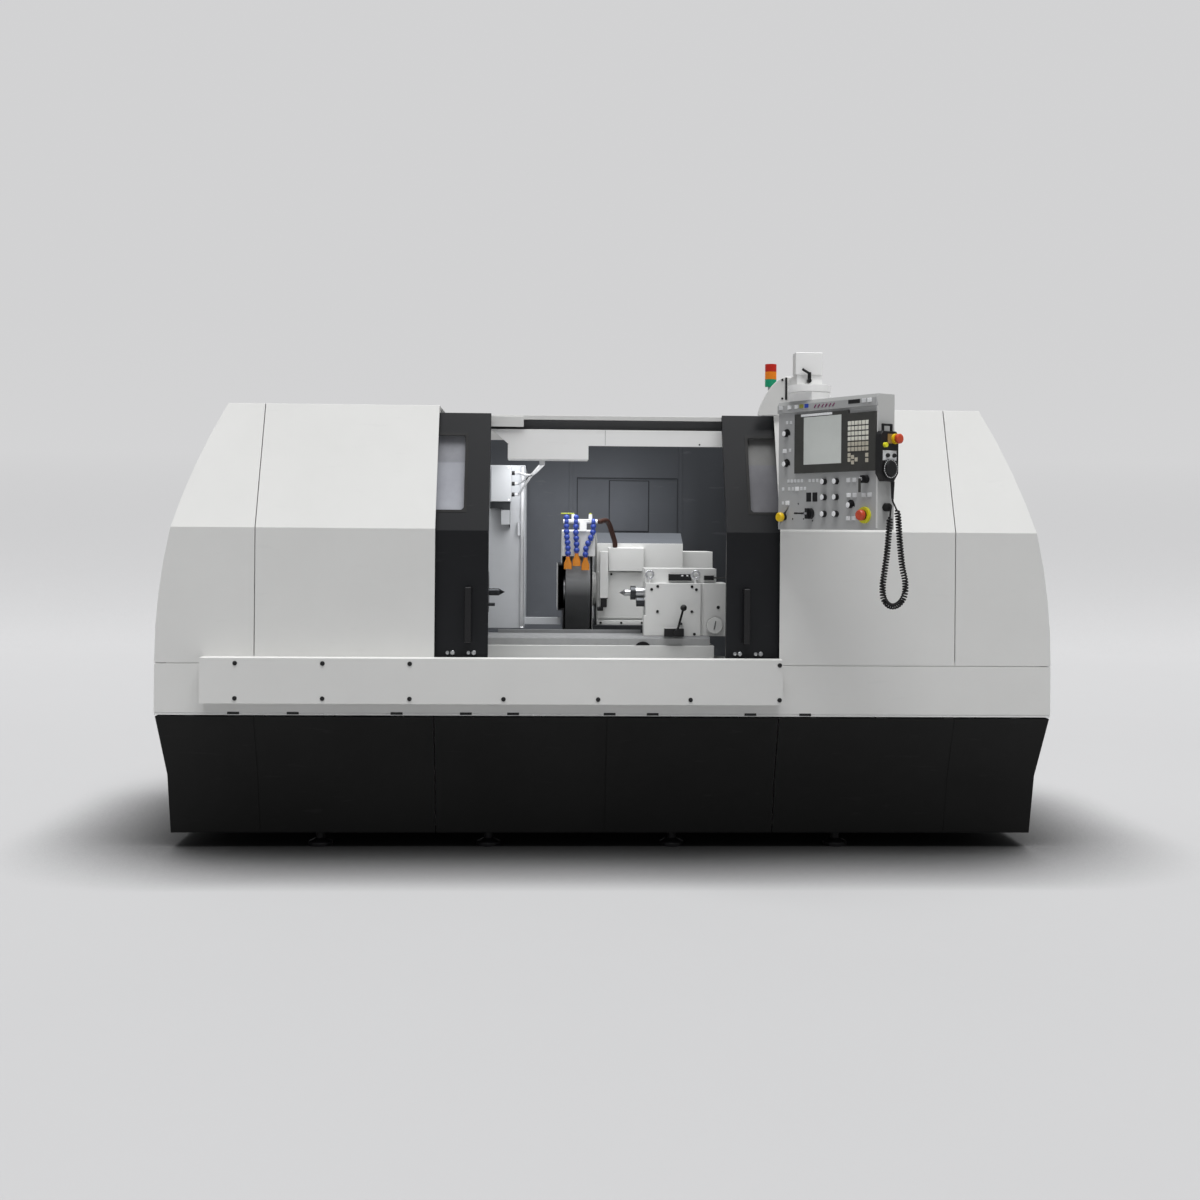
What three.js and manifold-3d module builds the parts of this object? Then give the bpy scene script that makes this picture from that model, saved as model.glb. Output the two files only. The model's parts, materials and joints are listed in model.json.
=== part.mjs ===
// Cylindrical grinding machine with a sliding-door enclosure, a swivelling operator pendant
// and a hand pulse unit on a curly cord.
//
// Millimetres, +Z up. Seen from the front, +X is to the right and +Y goes back into the machine.
// While it is built, Y = 0 is the front plane of the white covers and Z = 0 the floor; at the end
// the machine is moved so that its origin is the floor point under the middle of its bounding box.
import * as THREE from "three";
import { mergeVertices } from "three/addons/utils/BufferGeometryUtils.js";
import Module from "manifold-3d";

const wasm = await Module();
wasm.setup();

// Driving dimensions: enclosure
const halfWidth = 1745;
const enclosureDepth = 1480;
const coverTop = 1765;
const coverFold = 1270;
const coverFoot = 747;
const coverLean = 205;
const sideArcRadius = 2300;
const sideArcStart = 756;
const endSeamInset = 381;
const endSeamPlace = halfWidth - endSeamInset;
const openingHalf = 672;
const sheet = 4;
const seamGap = 3;
const seat = 0.3;
const overrun = 20;
const lap = 1;
const arcSteps = 8;

// Tray, lower band and apron
const trayTop = 554;
const trayThick = 8;
const trayInset = 1;
const bandTop = 744;
const upstandThick = 8;
const upstandRise = 18;
const upstandEnd = 45;
const apronInset = 188;
const apronLeft = apronInset - halfWidth;
const apronRight = 675;
const apronBottom = 599;
const apronTop = 773;
const apronProud = 75;
const apronSheet = 3;
const screwRadius = 7;
const screwHead = 4;
const screwInset = 20;
const screwStart = 135;
const screwEnd = 13;
const upperScrewShares = [0, 0.159, 0.318, 1];
const lowerScrewShares = [0, 0.159, 0.318, 0.49, 0.664, 0.835, 1];

// Door sill and rail
const sillDepth = 95;
const sillInset = 495;
const sillHalf = halfWidth - sillInset;
const railPlace = 44;
const railThick = 8;

// Black skirt round the base
const skirtTop = 541;
const skirtKnee = 300;
const skirtFoot = 61;
const skirtKneeBack = 100;
const skirtFootBack = 160;
const skirtInset = 4;
const skirtHalf = halfWidth - skirtInset;
const skirtKneeIn = 25;
const lugWidth = 36;
const lugDepth = 22;
const lugPitch = 250;
const grooveDepth = 2;

// Bed casting
const bedInset = 241;
const bedHalf = skirtHalf - bedInset;
const bedFront = 200;
const bedBackGap = 40;
const bedBack = enclosureDepth - bedBackGap;
const bedBottom = 80;
const tableWayFront = 345;
const tableWayBack = 495;
const wayTop = 740.7;
const wayInset = 250;
const tableWayLeft = wayInset - bedHalf;
const tableWayRight = 900;
const headWayLeft = -60;
const headWayRight = 380;
const headWayFront = 560;
const headWayInset = 50;
const headWayBack = bedBack - headWayInset;
const footPlaces = [-1136, -464, 275, 940];
const footRowInset = 30;
const footRows = [bedFront + footRowInset, bedBack - 2 * footRowInset];
const footRadius = 50;
const footThick = 14;
const footStem = 18;

// Rear cover and electrical cabinet
const rearSheet = 8;
const rearFoot = 70;
const louvreWidth = 260;
const louvreSlot = 9;
const louvrePitch = 30;
const louvreCount = 6;
const louvreBottom = 1380;
const louvrePlaces = [-1060, -560, -60];
const cabinetLeft = 260;
const cabinetInset = 265;
const cabinetRight = halfWidth - cabinetInset;
const cabinetBottom = 150;
const cabinetTop = 1700;
const cabinetDepth = 380;
const cabinetDoorLip = 12;
const cabinetDoorMargin = 18;
const cabinetHandleHeight = 160;
const cabinetHandleWidth = 26;
const cabinetHandleInset = 72;

// Sliding doors
const doorOpenEdge = 466;
const doorWidth = 712;
const doorInset = 32;
const doorThick = 26;
const doorFoot = 766;
const doorTop = 1738;
const windowSill = 71;
const windowHead = 117;
const windowBottom = coverFold + windowSill;
const windowTop = coverTop - windowHead;
const windowFrame = 95;
const windowCorner = 30;
const paneThick = 5;
const paneLap = 20;
const handlePlace = 543;
const handleBottom = 830;
const handleTop = 1044;
const handleWidth = 24;
const handleStand = 44;
const handleThick = 12;
const handlePost = 22;
const rollerRadius = 9;
const rollerProud = 5;
const rollerPlaces = [-60, 22];
const rollerHeight = 22;

// Roof beam, valance and work lamp
const beamFront = 265;
const beamBack = 330;
const beamTop = 1734;
const beamLip = 18;
const beamWeb = 8;
const valanceTop = 1678;
const valanceBottom = 1612;
const valanceFront = 275;
const lampLeft = -400;
const lampRight = -72;
const lampBottom = 1556;
const lampBack = 420;
const trimLeft = -476;
const trimRight = -336;
const trimBottom = 1686;
const trimDrop = 5;
const trimThick = 4;
const valanceCutTop = -464;
const valanceCutFoot = -392;
const hangerWidth = 60;
const hangerDepth = 30;

// Inner walls
const backWallGap = 80;
const backWallPlace = enclosureDepth - backWallGap;
const backWallRight = 900;
const backWallTop = 1700;
const wallSheet = 5;
const wallPanelRise = 3;
const wallPanelWidth = 185;
const wallPanelHeight = 239;
const wallPanelLeft = 67;
const wallPanelBottom = 1267;
const wallRibPlaces = [-130, 400];
const wallRibWidth = 18;
const leftWallFront = 620;
const leftWallEdge = -332;
const leftWallBottom = 847;
const leftWallTop = 1545;
const ledgeWidth = 160;
const ledgeHeight = 31;
const ledgePlace = 880;
const ledgeDepth = 20;
const shelfLeft = -480;
const shelfRight = -395;
const shelfKnee = -429;
const shelfDepth = 60;
const junctionLeft = -474;
const junctionRight = -390;
const junctionBottom = 1388;
const shelfDrop = 30;
const shelfHeight = 84;
const shelfBend = junctionBottom - shelfDrop;
const shelfFoot = shelfBend - shelfHeight;
const junctionTop = 1540;
const junctionDepth = 110;
const hoseRadius = 6;
const glandRadius = 9;
const glandLength = 14;
const glandShares = [0.2, 0.5, 0.8];
const hoseLead = 16;
const hoseMeet = [-302, 450, 1499];
const hoseEndX = -260;

// Table
const tableFront = 330;
const tableDepth = 185;
const tableLowerLeft = -960;
const tableLowerRight = 454;
const tableLowerBottom = 741;
const tableLowerTop = 796;
const tableUpperInset = 5;
const tableUpperLeft = -940;
const tableUpperRight = 437;
const tableTop = 835;
const centreY = 430;
const centreHeight = 174;
const tableBevel = 10;

// Workhead
const workheadLeft = -860;
const workheadFace = -500;
const workheadHalf = 110;
const workheadShoulder = 130;
const noseRadius = 100;
const noseLength = 20;
const faceplateRadius = 85;
const faceplateThick = 22;
const workCentreRadius = 15;
const workCentreReach = -411;
const driverRadius = 7;
const driverOffset = 52;
const driverLength = 26;

// Tailstock
const tailLeft = 171;
const tailSplit = 404;
const tailRight = 509;
const tailSplitGap = 8;
const tailFront = 352;
const tailBack = 530;
const tailTop = 1053;
const tailPlateLeft = 163;
const tailPlateStep = 919;
const tailPlateThick = 8;
const tailPlateInset = 5;
const tailCapLeft = 167;
const tailCapRight = 466;
const tailCapTop = 1113;
const tailCapFront = 375;
const tailCapBack = 500;
const eyeRadius = 20;
const eyeBore = 10;
const eyeThick = 9;
const eyePlaces = [188, 378];
const eyeLift = 34;
const sensorLeft = 267;
const sensorWidth = 95;
const sensorLift = 10;
const sensorHeight = 27;
const sensorDepth = 14;
const probeLeft = 414;
const probeWidth = 40;
const probeDepth = 14;
const probeLift = 13;
const probeHeight = 19;
const probeRod = 3.5;
const probeReach = 80;
const tailEndWidth = 34;
const tailEndFront = 380;
const tailEndBack = 500;
const tailEndBottom = 867;
const tailEndTop = 1044;
const leverBlockLeft = 247;
const leverBlockWidth = 80;
const leverBlockHeight = 32;
const leverBlockDepth = 34;
const leverPivotX = 297;
const leverPivotRise = 17;
const leverReach = 105;
const leverLean = 15;
const leverRod = 5;
const leverBall = 14;
const leverHub = 12;
const leverHubThick = 12;
const dialPlaceX = 457;
const dialPlaceZ = 880;
const dialRadius = 34;
const dialThick = 14;
const plugRadius = 7;
const plugProud = 3;
const plugX = 472;
const plugZ = 954;
const adjusterRadius = 20;
const adjusterLength = 36;
const adjusterDrop = 36;
const adjusterForward = 34;
const quillRadius = 25;
const quillClearance = 0.6;
const quillTip = 65;
const quillConeLength = 25;
const quillPointRadius = 14;
const quillCollarLeft = 112;
const quillCollarRight = 134;
const quillCollarRadius = 29;
const quillInside = 120;
const quillTravel = 30;
const quillSpare = 5;

// Wheelhead
const headLeft = -18;
const headRight = 358;
const headFront = 720;
const headFoot = 856;
const headHeight = 402;
const headCrown = headFoot + headHeight;
const headCrownRun = 100;
const headCrownDrop = 45;
const headTop = headCrown - headCrownDrop;
const headFlangeRise = 21;
const headFlangeProud = 12;
const slideFront = 700;
const slideBackGap = 60;
const slideBack = backWallPlace - slideBackGap;
const headBackInset = 40;
const headBack = slideBack - headBackInset;
const slideInset = 18;
const coverPlateLeft = 32;
const coverPlateRight = 186;
const coverPlateDrop = 20;
const coverPlateHeight = 101;
const coverPlateTop = headTop - coverPlateDrop;
const coverPlateBottom = coverPlateTop - coverPlateHeight;
const coverPlateThick = 30;
const frontPanelBottom = 886;
const frontPanelThick = 10;
const panelGap = 4;
const motorRight = 495;
const motorDrop = 35;
const motorHeight = 141;
const motorTop = headTop - motorDrop;
const motorBottom = motorTop - motorHeight;
const motorFront = 770;
const motorBack = 1000;

// Grinding wheel and its guard
const wheelRadius = 227;
const wheelLeft = -155;
const wheelRight = -50;
const wheelFront = 590;
const flangeRadius = 80;
const flangeThick = 8;
const spindleRadius = 45;
const guardRadius = 262;
const guardShell = 14;
const guardWall = 6;
const guardLeft = -190;
const guardRight = -38;
const guardFront = 665;
const guardStepX = -166;
const guardStepZ = 921;
const guardShoulder = 1121;
const guardBossRadius = 75;
const guardBossBore = 52;
const guardBoxLeft = -171;
const guardBoxRight = -31;
const guardBoxBottom = 1157;
const guardBoxTop = 1264;
const guardBoxFront = 600;

// Gauge head
const gaugeLeft = -7;
const gaugeRight = 29;
const gaugeBottom = 974;
const gaugeTop = 1178;
const gaugeFront = 655;
const gaugeTipDrop = 38;
const gaugeTipInset = 5;
const gaugeFootDrop = 16;
const gaugeFootOut = 10;
const gaugeFootThick = 30;

// Coolant fittings
const manifoldHeight = 1307;
const manifoldRadius = 9;
const manifoldLeft = -168;
const manifoldRight = -22;
const manifoldY = 585;
const bracketX = -83;
const bracketWidth = 30;
const bracketReach = 60;
const valveRadius = 8;
const valveRise = 30;
const valvePlaces = [-126, -52];
const valveLeverLength = 57;
const valveLeverWidth = 9;
const valveLeverThick = 5;
const beadRadius = 13;
const beadNeck = 7;
const beadPitch = 22;
const hoseTops = [-154, -114, -39];
const hoseFeet = [-147, -110, -72];
const hoseFoots = [1158, 1171, 1154];
const nozzleDrop = 58;
const nozzleHalf = 18;
const nozzleNeck = 8;
const nozzleThick = 14;
const hoseBendShares = [0.3, 0.7];
const nozzleFlareShare = 0.7;
const supplyRadius = 12;
const supplyArchX = 24;
const supplyEndX = 60;

// Signal tower
const towerX = 675;
const towerY = 300;
const towerRadius = 24;
const towerPole = 12;
const towerGreenBottom = 1862;
const towerLens = 31;

// Pendant arm
const swivelX = 755;
const swivelY = -150;
const armOffset = -12;
const armHalf = 51.5;
const armFront = -205;
const armCapDepth = 62;
const armFrontDepth = 182;
const armBack = 330;
const armTop = 1946;
const armStep = 1863;
const armUnder = 1825.3;
const armLowerInset = 5;
const armRearLeft = 737;
const armFoot = 215;
const finLeft = 604;
const finRight = 713;
const finBottom = 1735;
const finTop = 1892;
const finFront = 168;
const finThick = 12;
const finBulge = 1.33;
const clampHub = 8;
const clampHubLength = 15;
const clampHeight = 1838;
const clampStem = 7;
const clampStemRise = 32;
const clampReach = 27;
const clampRise = 17;
const clampRod = 5;

// Pendant
const pendantTurn = -57.7;
const pendantLeft = -121;
const pendantRight = 411;
const pendantFace = -46;
const pendantBack = 50;
const pendantBottom = 1278;
const pendantTop = 1766;
const pendantBevel = 14;
const headerBottom = 1722;
const headerProud = 8;
const swivelDiscRadius = 81;
const swivelDiscBottom = 1798;
const swivelNeckRadius = 80;
const swivelGroove = 3;
const bezelLeft = -22;
const bezelRight = 407;
const bezelBottom = 1490;
const bezelTop = 1714;
const bezelProud = 8;
const bezelNotch = 268;
const bezelNotchDrop = 12;
const screenLeft = 30;
const screenRight = 232;
const screenBottom = 1522;
const screenTop = 1700;
const screenThick = 3;
const screenClearance = 0.5;
const keyLeft = 269;
const keyTop = 1672;
const keyPitchX = 18;
const keyPitchZ = 19;
const keyWidth = 13;
const keyHeight = 14;
const keyProud = 3;
const keyColumns = 6;
const keyRows = 6;
const cursorKeyShares = [[0, 7], [1, 6.5], [1, 7.5], [2, 7], [0, 6.1], [5, 6.2], [5, 7.2]];
const knobRadius = 12;
const knobFaceRadius = 9;
const knobFaceProud = 1.5;
const knobProud = 18;
// Places on the pendant's face, as shares of its width and height
const knobAcrossShares = [0.088, 0.088, 0.489, 0.609, 0.489, 0.609, 0.489, 0.609, 0.748];
const knobUpShares = [0.748, 0.512, 0.365, 0.365, 0.246, 0.246, 0.119, 0.119, 0.184];
const capWidth = 18;
const capHeight = 15;
const capProud = 5;
const capAcrossShares = [
  0.07, 0.103, 0.729, 0.788, 0.874, 0.93, 0.726, 0.778, 0.727, 0.786, 0.205,
];
const capUpShares = [0.615, 0.207, 0.258, 0.258, 0.258, 0.258, 0.086, 0.086, 0.371, 0.371, 0.316];
const headerAcrossShares = [0.043, 0.135, 0.209, 0.261, 0.314, 0.885, 0.938];
const headerUpShare = 0.953;
const lampAcrossShares = [
  0.109, 0.145, 0.18, 0.216, 0.252, 0.333, 0.372, 0.412, 0.053, 0.118, 0.158, 0.248, 0.284,
  0.053, 0.088, 0.132, 0.124,
];
const lampUpShares = [
  0.377, 0.377, 0.377, 0.377, 0.377, 0.375, 0.375, 0.375, 0.316, 0.316, 0.316, 0.316, 0.316,
  0.207, 0.836, 0.836, 0.619,
];
const lampWidth = 12;
const lampProud = 2;
const indicatorAcrossShares = [0.325, 0.389];
const indicatorUpShare = 0.25;
const indicatorWidth = 26;
const indicatorHeight = 34;
const displayAcrossShare = 0.788;
const displayWidth = 60;
const stopX = 350;
const stopZ = 1331;
const stopRing = 30;
const stopRingProud = 10;
const stopCap = 20;
const stopCapThick = 18;
const stopStem = 12;
const stopReach = 34;
const capFaceShare = 0.8;
const capEdgeShare = 0.3;
const pushTravel = 6;
const stemClearance = 0.6;
const stemInside = 12;
const yellowX = -84;
const yellowZ = 1325;
const yellowCap = 18;
const modeX = 64;
const modeZ = 1338;
const modeRadius = 20;
const modeProud = 26;
const gripShare = 0.35;
const powerX = 358;
const powerZ = 1460;
const powerRadius = 14;
const powerProud = 30;

// Hand pulse unit
const handsetStand = 3;
const handsetDepth = 28;
const handsetLeft = -62;
const handsetRight = 26;
const handsetBottom = 1451;
const handsetTop = 1630;
const handsetFootRound = 20;
const handsetFootRise = 28;
const handsetHeadRound = 12;
const hookRise = 27;
const hookWidth = 50;
const hookBar = 8;
const hookDepth = 9;
const handDialZ = 1496;
const handDialRadius = 27;
const handDialThick = 12;
const handPlateBottom = 1526;
const handPlateTop = 1560;
const handPlateProud = 3;
const handKnobRadius = 8;
const handKnobProud = 12;
const handKnobSpread = 16;
const handStopY = 6;
const handStopZ = 1603;
const handStopRadius = 18;
const handStopReach = 30;
const handStopStem = 9;
const handStopNeck = 12;
const handStopEdge = 3;
const handStopFace = 12.5;
const handButtonY = -44;
const handButtonZ = 1580;
const handButtonRadius = 9;
const reliefY = 12;
const reliefTopRadius = 8;
const reliefEndRadius = 5;
const reliefEnd = 1389;
const socketY = -8;
const socketZ = 1359;
const socketRadius = 15;
const socketLength = 22;

// Curly cord
const cordRadius = 3.2;
const curlRadius = 8.6;
const curlCount = 80;
const curlSteps = 8;
const cordSides = 5;
const cordLead = 6;
const cordRise = 3;
const leadShare = 0.045;
const rampShare = 0.012;
const cordDrop = 350;
const cordSpread = 66;
const cordOut = 30;
// The route between the straight leads, as shares of its reach out, along the side and down
const cordOutShares = [0.933, 1, 1, 1, 1, 1, 1, 1, 1, 1, 1, 1, 1, 1, 1, 1, 1, 0.9];
const cordAlongShares = [
  -0.136, -0.152, -0.182, -0.288, -0.409, -0.606, -0.712, -0.606, -0.242, 0.212, 0.697, 0.97, 1,
  0.788, 0.652, 0.515, 0.394, 0.273,
];
const cordDownShares = [
  0.003, 0.026, 0.071, 0.269, 0.469, 0.674, 0.811, 0.926, 0.989, 1, 0.957, 0.88, 0.76, 0.617,
  0.469, 0.269, 0.071, -0.006,
];

const finish = (color, roughness, metalness = 0) =>
  new THREE.MeshStandardMaterial({ color, roughness, metalness });

const white = finish(0xe9e9e7, 0.45);
const black = finish(0x1d1e20, 0.5);
const doorBlack = finish(0x24262a, 0.4);
const wallGrey = finish(0x4d5158, 0.55);
const lightGrey = finish(0xc4c7ca, 0.5);
const castGrey = finish(0xd9dad6, 0.5);
const steel = finish(0xb9bcc0, 0.3, 0.9);
const darkSteel = finish(0x3b3d40, 0.4, 0.7);
const pendantGrey = finish(0x8f9294, 0.5);
const glass = finish(0x9aa3b4, 0.15);
const wheelGrit = finish(0x6f6d70, 0.9);
const blue = finish(0x2a3fb0, 0.4);
const yellow = finish(0xf2c20f, 0.4);
const lime = finish(0xb7c23c, 0.4);
const red = finish(0xd83a22, 0.4);
const amber = finish(0xe59a1c, 0.35);
const green = finish(0x1f9d6b, 0.35);
const screenGrey = finish(0xa9b0ad, 0.3);
const rubber = finish(0x17181a, 0.7);

// A closed three.js geometry as a solid that can be joined and cut.
function solid(geometry) {
  const bare = geometry.clone();
  bare.deleteAttribute("normal");
  bare.deleteAttribute("uv");
  const merged = mergeVertices(bare, 1e-4);
  const index = merged.index.array;
  const kept = [];
  for (let i = 0; i < index.length; i += 3) {
    const [a, b, c] = [index[i], index[i + 1], index[i + 2]];
    if (a !== b && b !== c && c !== a) kept.push(a, b, c);
  }
  return new wasm.Manifold(
    new wasm.Mesh({
      numProp: 3,
      vertProperties: merged.attributes.position.array,
      triVerts: new Uint32Array(kept),
    }),
  );
}

const joined = (...solids) => solids.reduce((whole, next) => whole.add(next));

// A solid as a three.js mesh, named and finished, in its parent group.
function place(parent, name, form, material) {
  const { vertProperties, triVerts } = form.getMesh();
  const geometry = new THREE.BufferGeometry();
  geometry.setAttribute("position", new THREE.BufferAttribute(vertProperties, 3));
  geometry.setIndex(new THREE.BufferAttribute(triVerts, 1));
  geometry.computeVertexNormals();
  const mesh = new THREE.Mesh(geometry, material);
  mesh.name = name;
  parent.add(mesh);
  return mesh;
}

// A box between two corners, given as a low and a high value along each axis.
function block(x0, x1, y0, y1, z0, z1) {
  const geometry = new THREE.BoxGeometry(x1 - x0, y1 - y0, z1 - z0);
  geometry.translate((x0 + x1) / 2, (y0 + y1) / 2, (z0 + z1) / 2);
  return solid(geometry);
}

function extrusion(outline, holes, depth, basis, offset) {
  const toShape = (points, Kind) => new Kind(points.map(([u, v]) => new THREE.Vector2(u, v)));
  const shape = toShape(outline, THREE.Shape);
  shape.holes = holes.map((hole) => toShape(hole, THREE.Path));
  const geometry = new THREE.ExtrudeGeometry(shape, { depth, bevelEnabled: false });
  geometry.applyMatrix4(basis);
  geometry.translate(...offset);
  return solid(geometry);
}

const axisX = new THREE.Vector3(1, 0, 0);
const axisY = new THREE.Vector3(0, 1, 0);
const axisZ = new THREE.Vector3(0, 0, 1);

// Outlines pushed along an axis: [y, z] points along X, [x, z] along Y and [x, y] along Z.
function prismX(outline, x0, x1, holes = []) {
  const basis = new THREE.Matrix4().makeBasis(axisY, axisZ, axisX);
  return extrusion(outline, holes, x1 - x0, basis, [x0, 0, 0]);
}
function prismY(outline, y0, y1, holes = []) {
  const basis = new THREE.Matrix4().makeBasis(axisX, axisZ, axisY.clone().negate());
  return extrusion(outline, holes, y1 - y0, basis, [0, y1, 0]);
}
function prismZ(outline, z0, z1, holes = []) {
  return extrusion(outline, holes, z1 - z0, new THREE.Matrix4(), [0, 0, z0]);
}

// A turned piece: [radius, distance along the axis] points from one end to the other.
function turned(profile, sides, axis, at) {
  const points = profile.map(([r, h]) => new THREE.Vector2(r, h));
  const geometry = new THREE.LatheGeometry(points, sides);
  const turn = new THREE.Quaternion().setFromUnitVectors(axisY, axis);
  geometry.applyQuaternion(turn);
  geometry.translate(...at);
  return solid(geometry);
}

const disc = (radius, from, to, sides, axis, at) =>
  turned([[0, from], [radius, from], [radius, to], [0, to]], sides, axis, at);

// A round bar between two points.
function bar(radius, from, to, sides) {
  const start = new THREE.Vector3(...from);
  const run = new THREE.Vector3(...to).sub(start);
  return disc(radius, 0, run.length(), sides, run.normalize(), from);
}

// A ring-by-ring skin along a curve's points, closed by a flat face at each end.
function swept(points, radiusAt, sides) {
  const last = points.length - 1;
  const tangentAt = (i) =>
    points[Math.min(i + 1, last)].clone().sub(points[Math.max(i - 1, 0)]).normalize();
  let across = new THREE.Vector3().crossVectors(tangentAt(0), axisY);
  if (across.lengthSq() < 0.1) across = new THREE.Vector3().crossVectors(tangentAt(0), axisZ);
  const positions = [];
  points.forEach((point, i) => {
    const tangent = tangentAt(i);
    across.addScaledVector(tangent, -across.dot(tangent)).normalize();
    const up = new THREE.Vector3().crossVectors(tangent, across);
    for (let s = 0; s < sides; s += 1) {
      const angle = (2 * Math.PI * s) / sides;
      const spot = point.clone();
      spot.addScaledVector(across, radiusAt(i) * Math.cos(angle));
      spot.addScaledVector(up, radiusAt(i) * Math.sin(angle));
      positions.push(...spot.toArray());
    }
  });
  positions.push(...points[0].toArray(), ...points[last].toArray());
  const index = [];
  for (let i = 0; i < last; i += 1) {
    for (let s = 0; s < sides; s += 1) {
      const a = i * sides + s;
      const b = i * sides + ((s + 1) % sides);
      index.push(a, b, a + sides, b, b + sides, a + sides);
    }
  }
  const startCentre = points.length * sides;
  for (let s = 0; s < sides; s += 1) {
    const next = (s + 1) % sides;
    index.push(startCentre, next, s);
    index.push(startCentre + 1, last * sides + s, last * sides + next);
  }
  const geometry = new THREE.BufferGeometry();
  geometry.setAttribute("position", new THREE.Float32BufferAttribute(positions, 3));
  geometry.setIndex(index);
  return solid(geometry);
}

// An open line moved sideways by a distance, its corners mitred; to the right of its direction.
function offsetLine(line, distance) {
  const normals = line.slice(1).map(([u, v], i) => {
    const [du, dv] = [u - line[i][0], v - line[i][1]];
    const length = Math.hypot(du, dv);
    return [dv / length, -du / length];
  });
  return line.map(([u, v], i) => {
    const before = normals[Math.max(i - 1, 0)];
    const after = normals[Math.min(i, normals.length - 1)];
    const [su, sv] = [before[0] + after[0], before[1] + after[1]];
    const reach = (2 * distance) / (su * su + sv * sv);
    return [u + su * reach, v + sv * reach];
  });
}

const thickened = (line, thickness) => [...line, ...offsetLine(line, thickness).reverse()];

// The point of a straight stretch at a given height.
function atHeight([u0, v0], [u1, v1], height) {
  return [u0 + ((u1 - u0) * (height - v0)) / (v1 - v0), height];
}

// The covers' profile from foot to fold to top edge, and along the roof.
const coverLine = [
  [0, coverFoot],
  [0, coverFold],
  [coverLean, coverTop],
  [enclosureDepth, coverTop],
];

// The bulging side of the enclosure as [x, z] points, from the tray to the top.
function sideLine(inset) {
  const points = [[halfWidth - inset, trayTop]];
  for (let i = 0; i <= arcSteps; i += 1) {
    const z = sideArcStart + ((coverTop - sideArcStart) * i) / arcSteps;
    const bulge = sideArcRadius - Math.sqrt(sideArcRadius ** 2 - (z - sideArcStart) ** 2);
    points.push([halfWidth - bulge - inset, z]);
  }
  return points;
}

const mirrored = (outline, side) => outline.map(([x, z]) => [side * x, z]);

function spanX(form, a, b) {
  return form(Math.min(a, b), Math.max(a, b));
}

// One end of the enclosure: front, bulging side and roof bent from sheet.
function endCover(side) {
  const inner = endSeamPlace + seamGap / 2;
  const body = (line, inset, from, back, foot) => {
    const [top, bottom] = [line[2][1], foot];
    const profile = [[line[0][0], bottom], line[1], line[2], [back, top], [back, bottom]];
    const along = spanX((a, b) => prismX(profile, a, b), side * from, side * halfWidth);
    const curve = sideLine(inset);
    const outline = [[from, bottom], [curve[1][0], bottom], ...curve.slice(1), [from, coverTop]];
    return along.intersect(prismY(mirrored(outline, side), line[0][0] - overrun, back + overrun));
  };
  const skin = body(coverLine, 0, inner, enclosureDepth, coverFoot);
  const hollow = body(
    offsetLine(coverLine, sheet), sheet, inner - overrun, enclosureDepth + overrun,
    coverFoot - overrun,
  );
  return skin.subtract(hollow);
}

// The fixed cover beside the opening, with the roof panel behind it.
function frontCover(side) {
  const outline = thickened(coverLine, sheet);
  return spanX(
    (a, b) => prismX(outline, a, b),
    side * openingHalf,
    side * (endSeamPlace - seamGap / 2),
  );
}

// The white band under the covers, wrapped round both ends, with the doors' sill and rail.
function lowerBand() {
  const plan = [
    [-halfWidth, enclosureDepth],
    [-halfWidth, 0],
    [halfWidth, 0],
    [halfWidth, enclosureDepth],
  ];
  const wrap = prismZ(thickened(plan, -sheet), trayTop + seat, bandTop);
  const upstandHalf = halfWidth - upstandEnd;
  const back = sheet + seat;
  const railFoot = bandTop - sheet;
  return joined(
    wrap,
    block(-sillHalf, sillHalf, 0, sillDepth, railFoot, bandTop),
    block(-upstandHalf, upstandHalf, sheet - lap, back + upstandThick, railFoot, bandTop),
    block(-upstandHalf, upstandHalf, back, back + upstandThick, railFoot, bandTop + upstandRise),
    block(
      -sillHalf, sillHalf, railPlace - railThick / 2, railPlace + railThick / 2,
      railFoot, doorFoot - seat,
    ),
  );
}

// The apron across the front: a shallow pan of sheet with its screws.
function frontApron() {
  const pan = block(apronLeft, apronRight, -apronProud, -seat, apronBottom, apronTop);
  const hollow = block(
    apronLeft + apronSheet, apronRight - apronSheet, apronSheet - apronProud, overrun,
    apronBottom + apronSheet, apronTop - apronSheet,
  );
  const first = apronLeft + screwStart;
  const along = (share) => first + share * (apronRight - screwEnd - first);
  const screw = (x, z) =>
    disc(screwRadius, 0, screwHead + lap, 6, axisY, [x, -apronProud - screwHead, z]);
  return joined(
    pan.subtract(hollow),
    ...upperScrewShares.map((share) => screw(along(share), apronTop - screwInset)),
    ...lowerScrewShares.map((share) => screw(along(share), apronBottom + screwInset)),
  );
}

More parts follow.
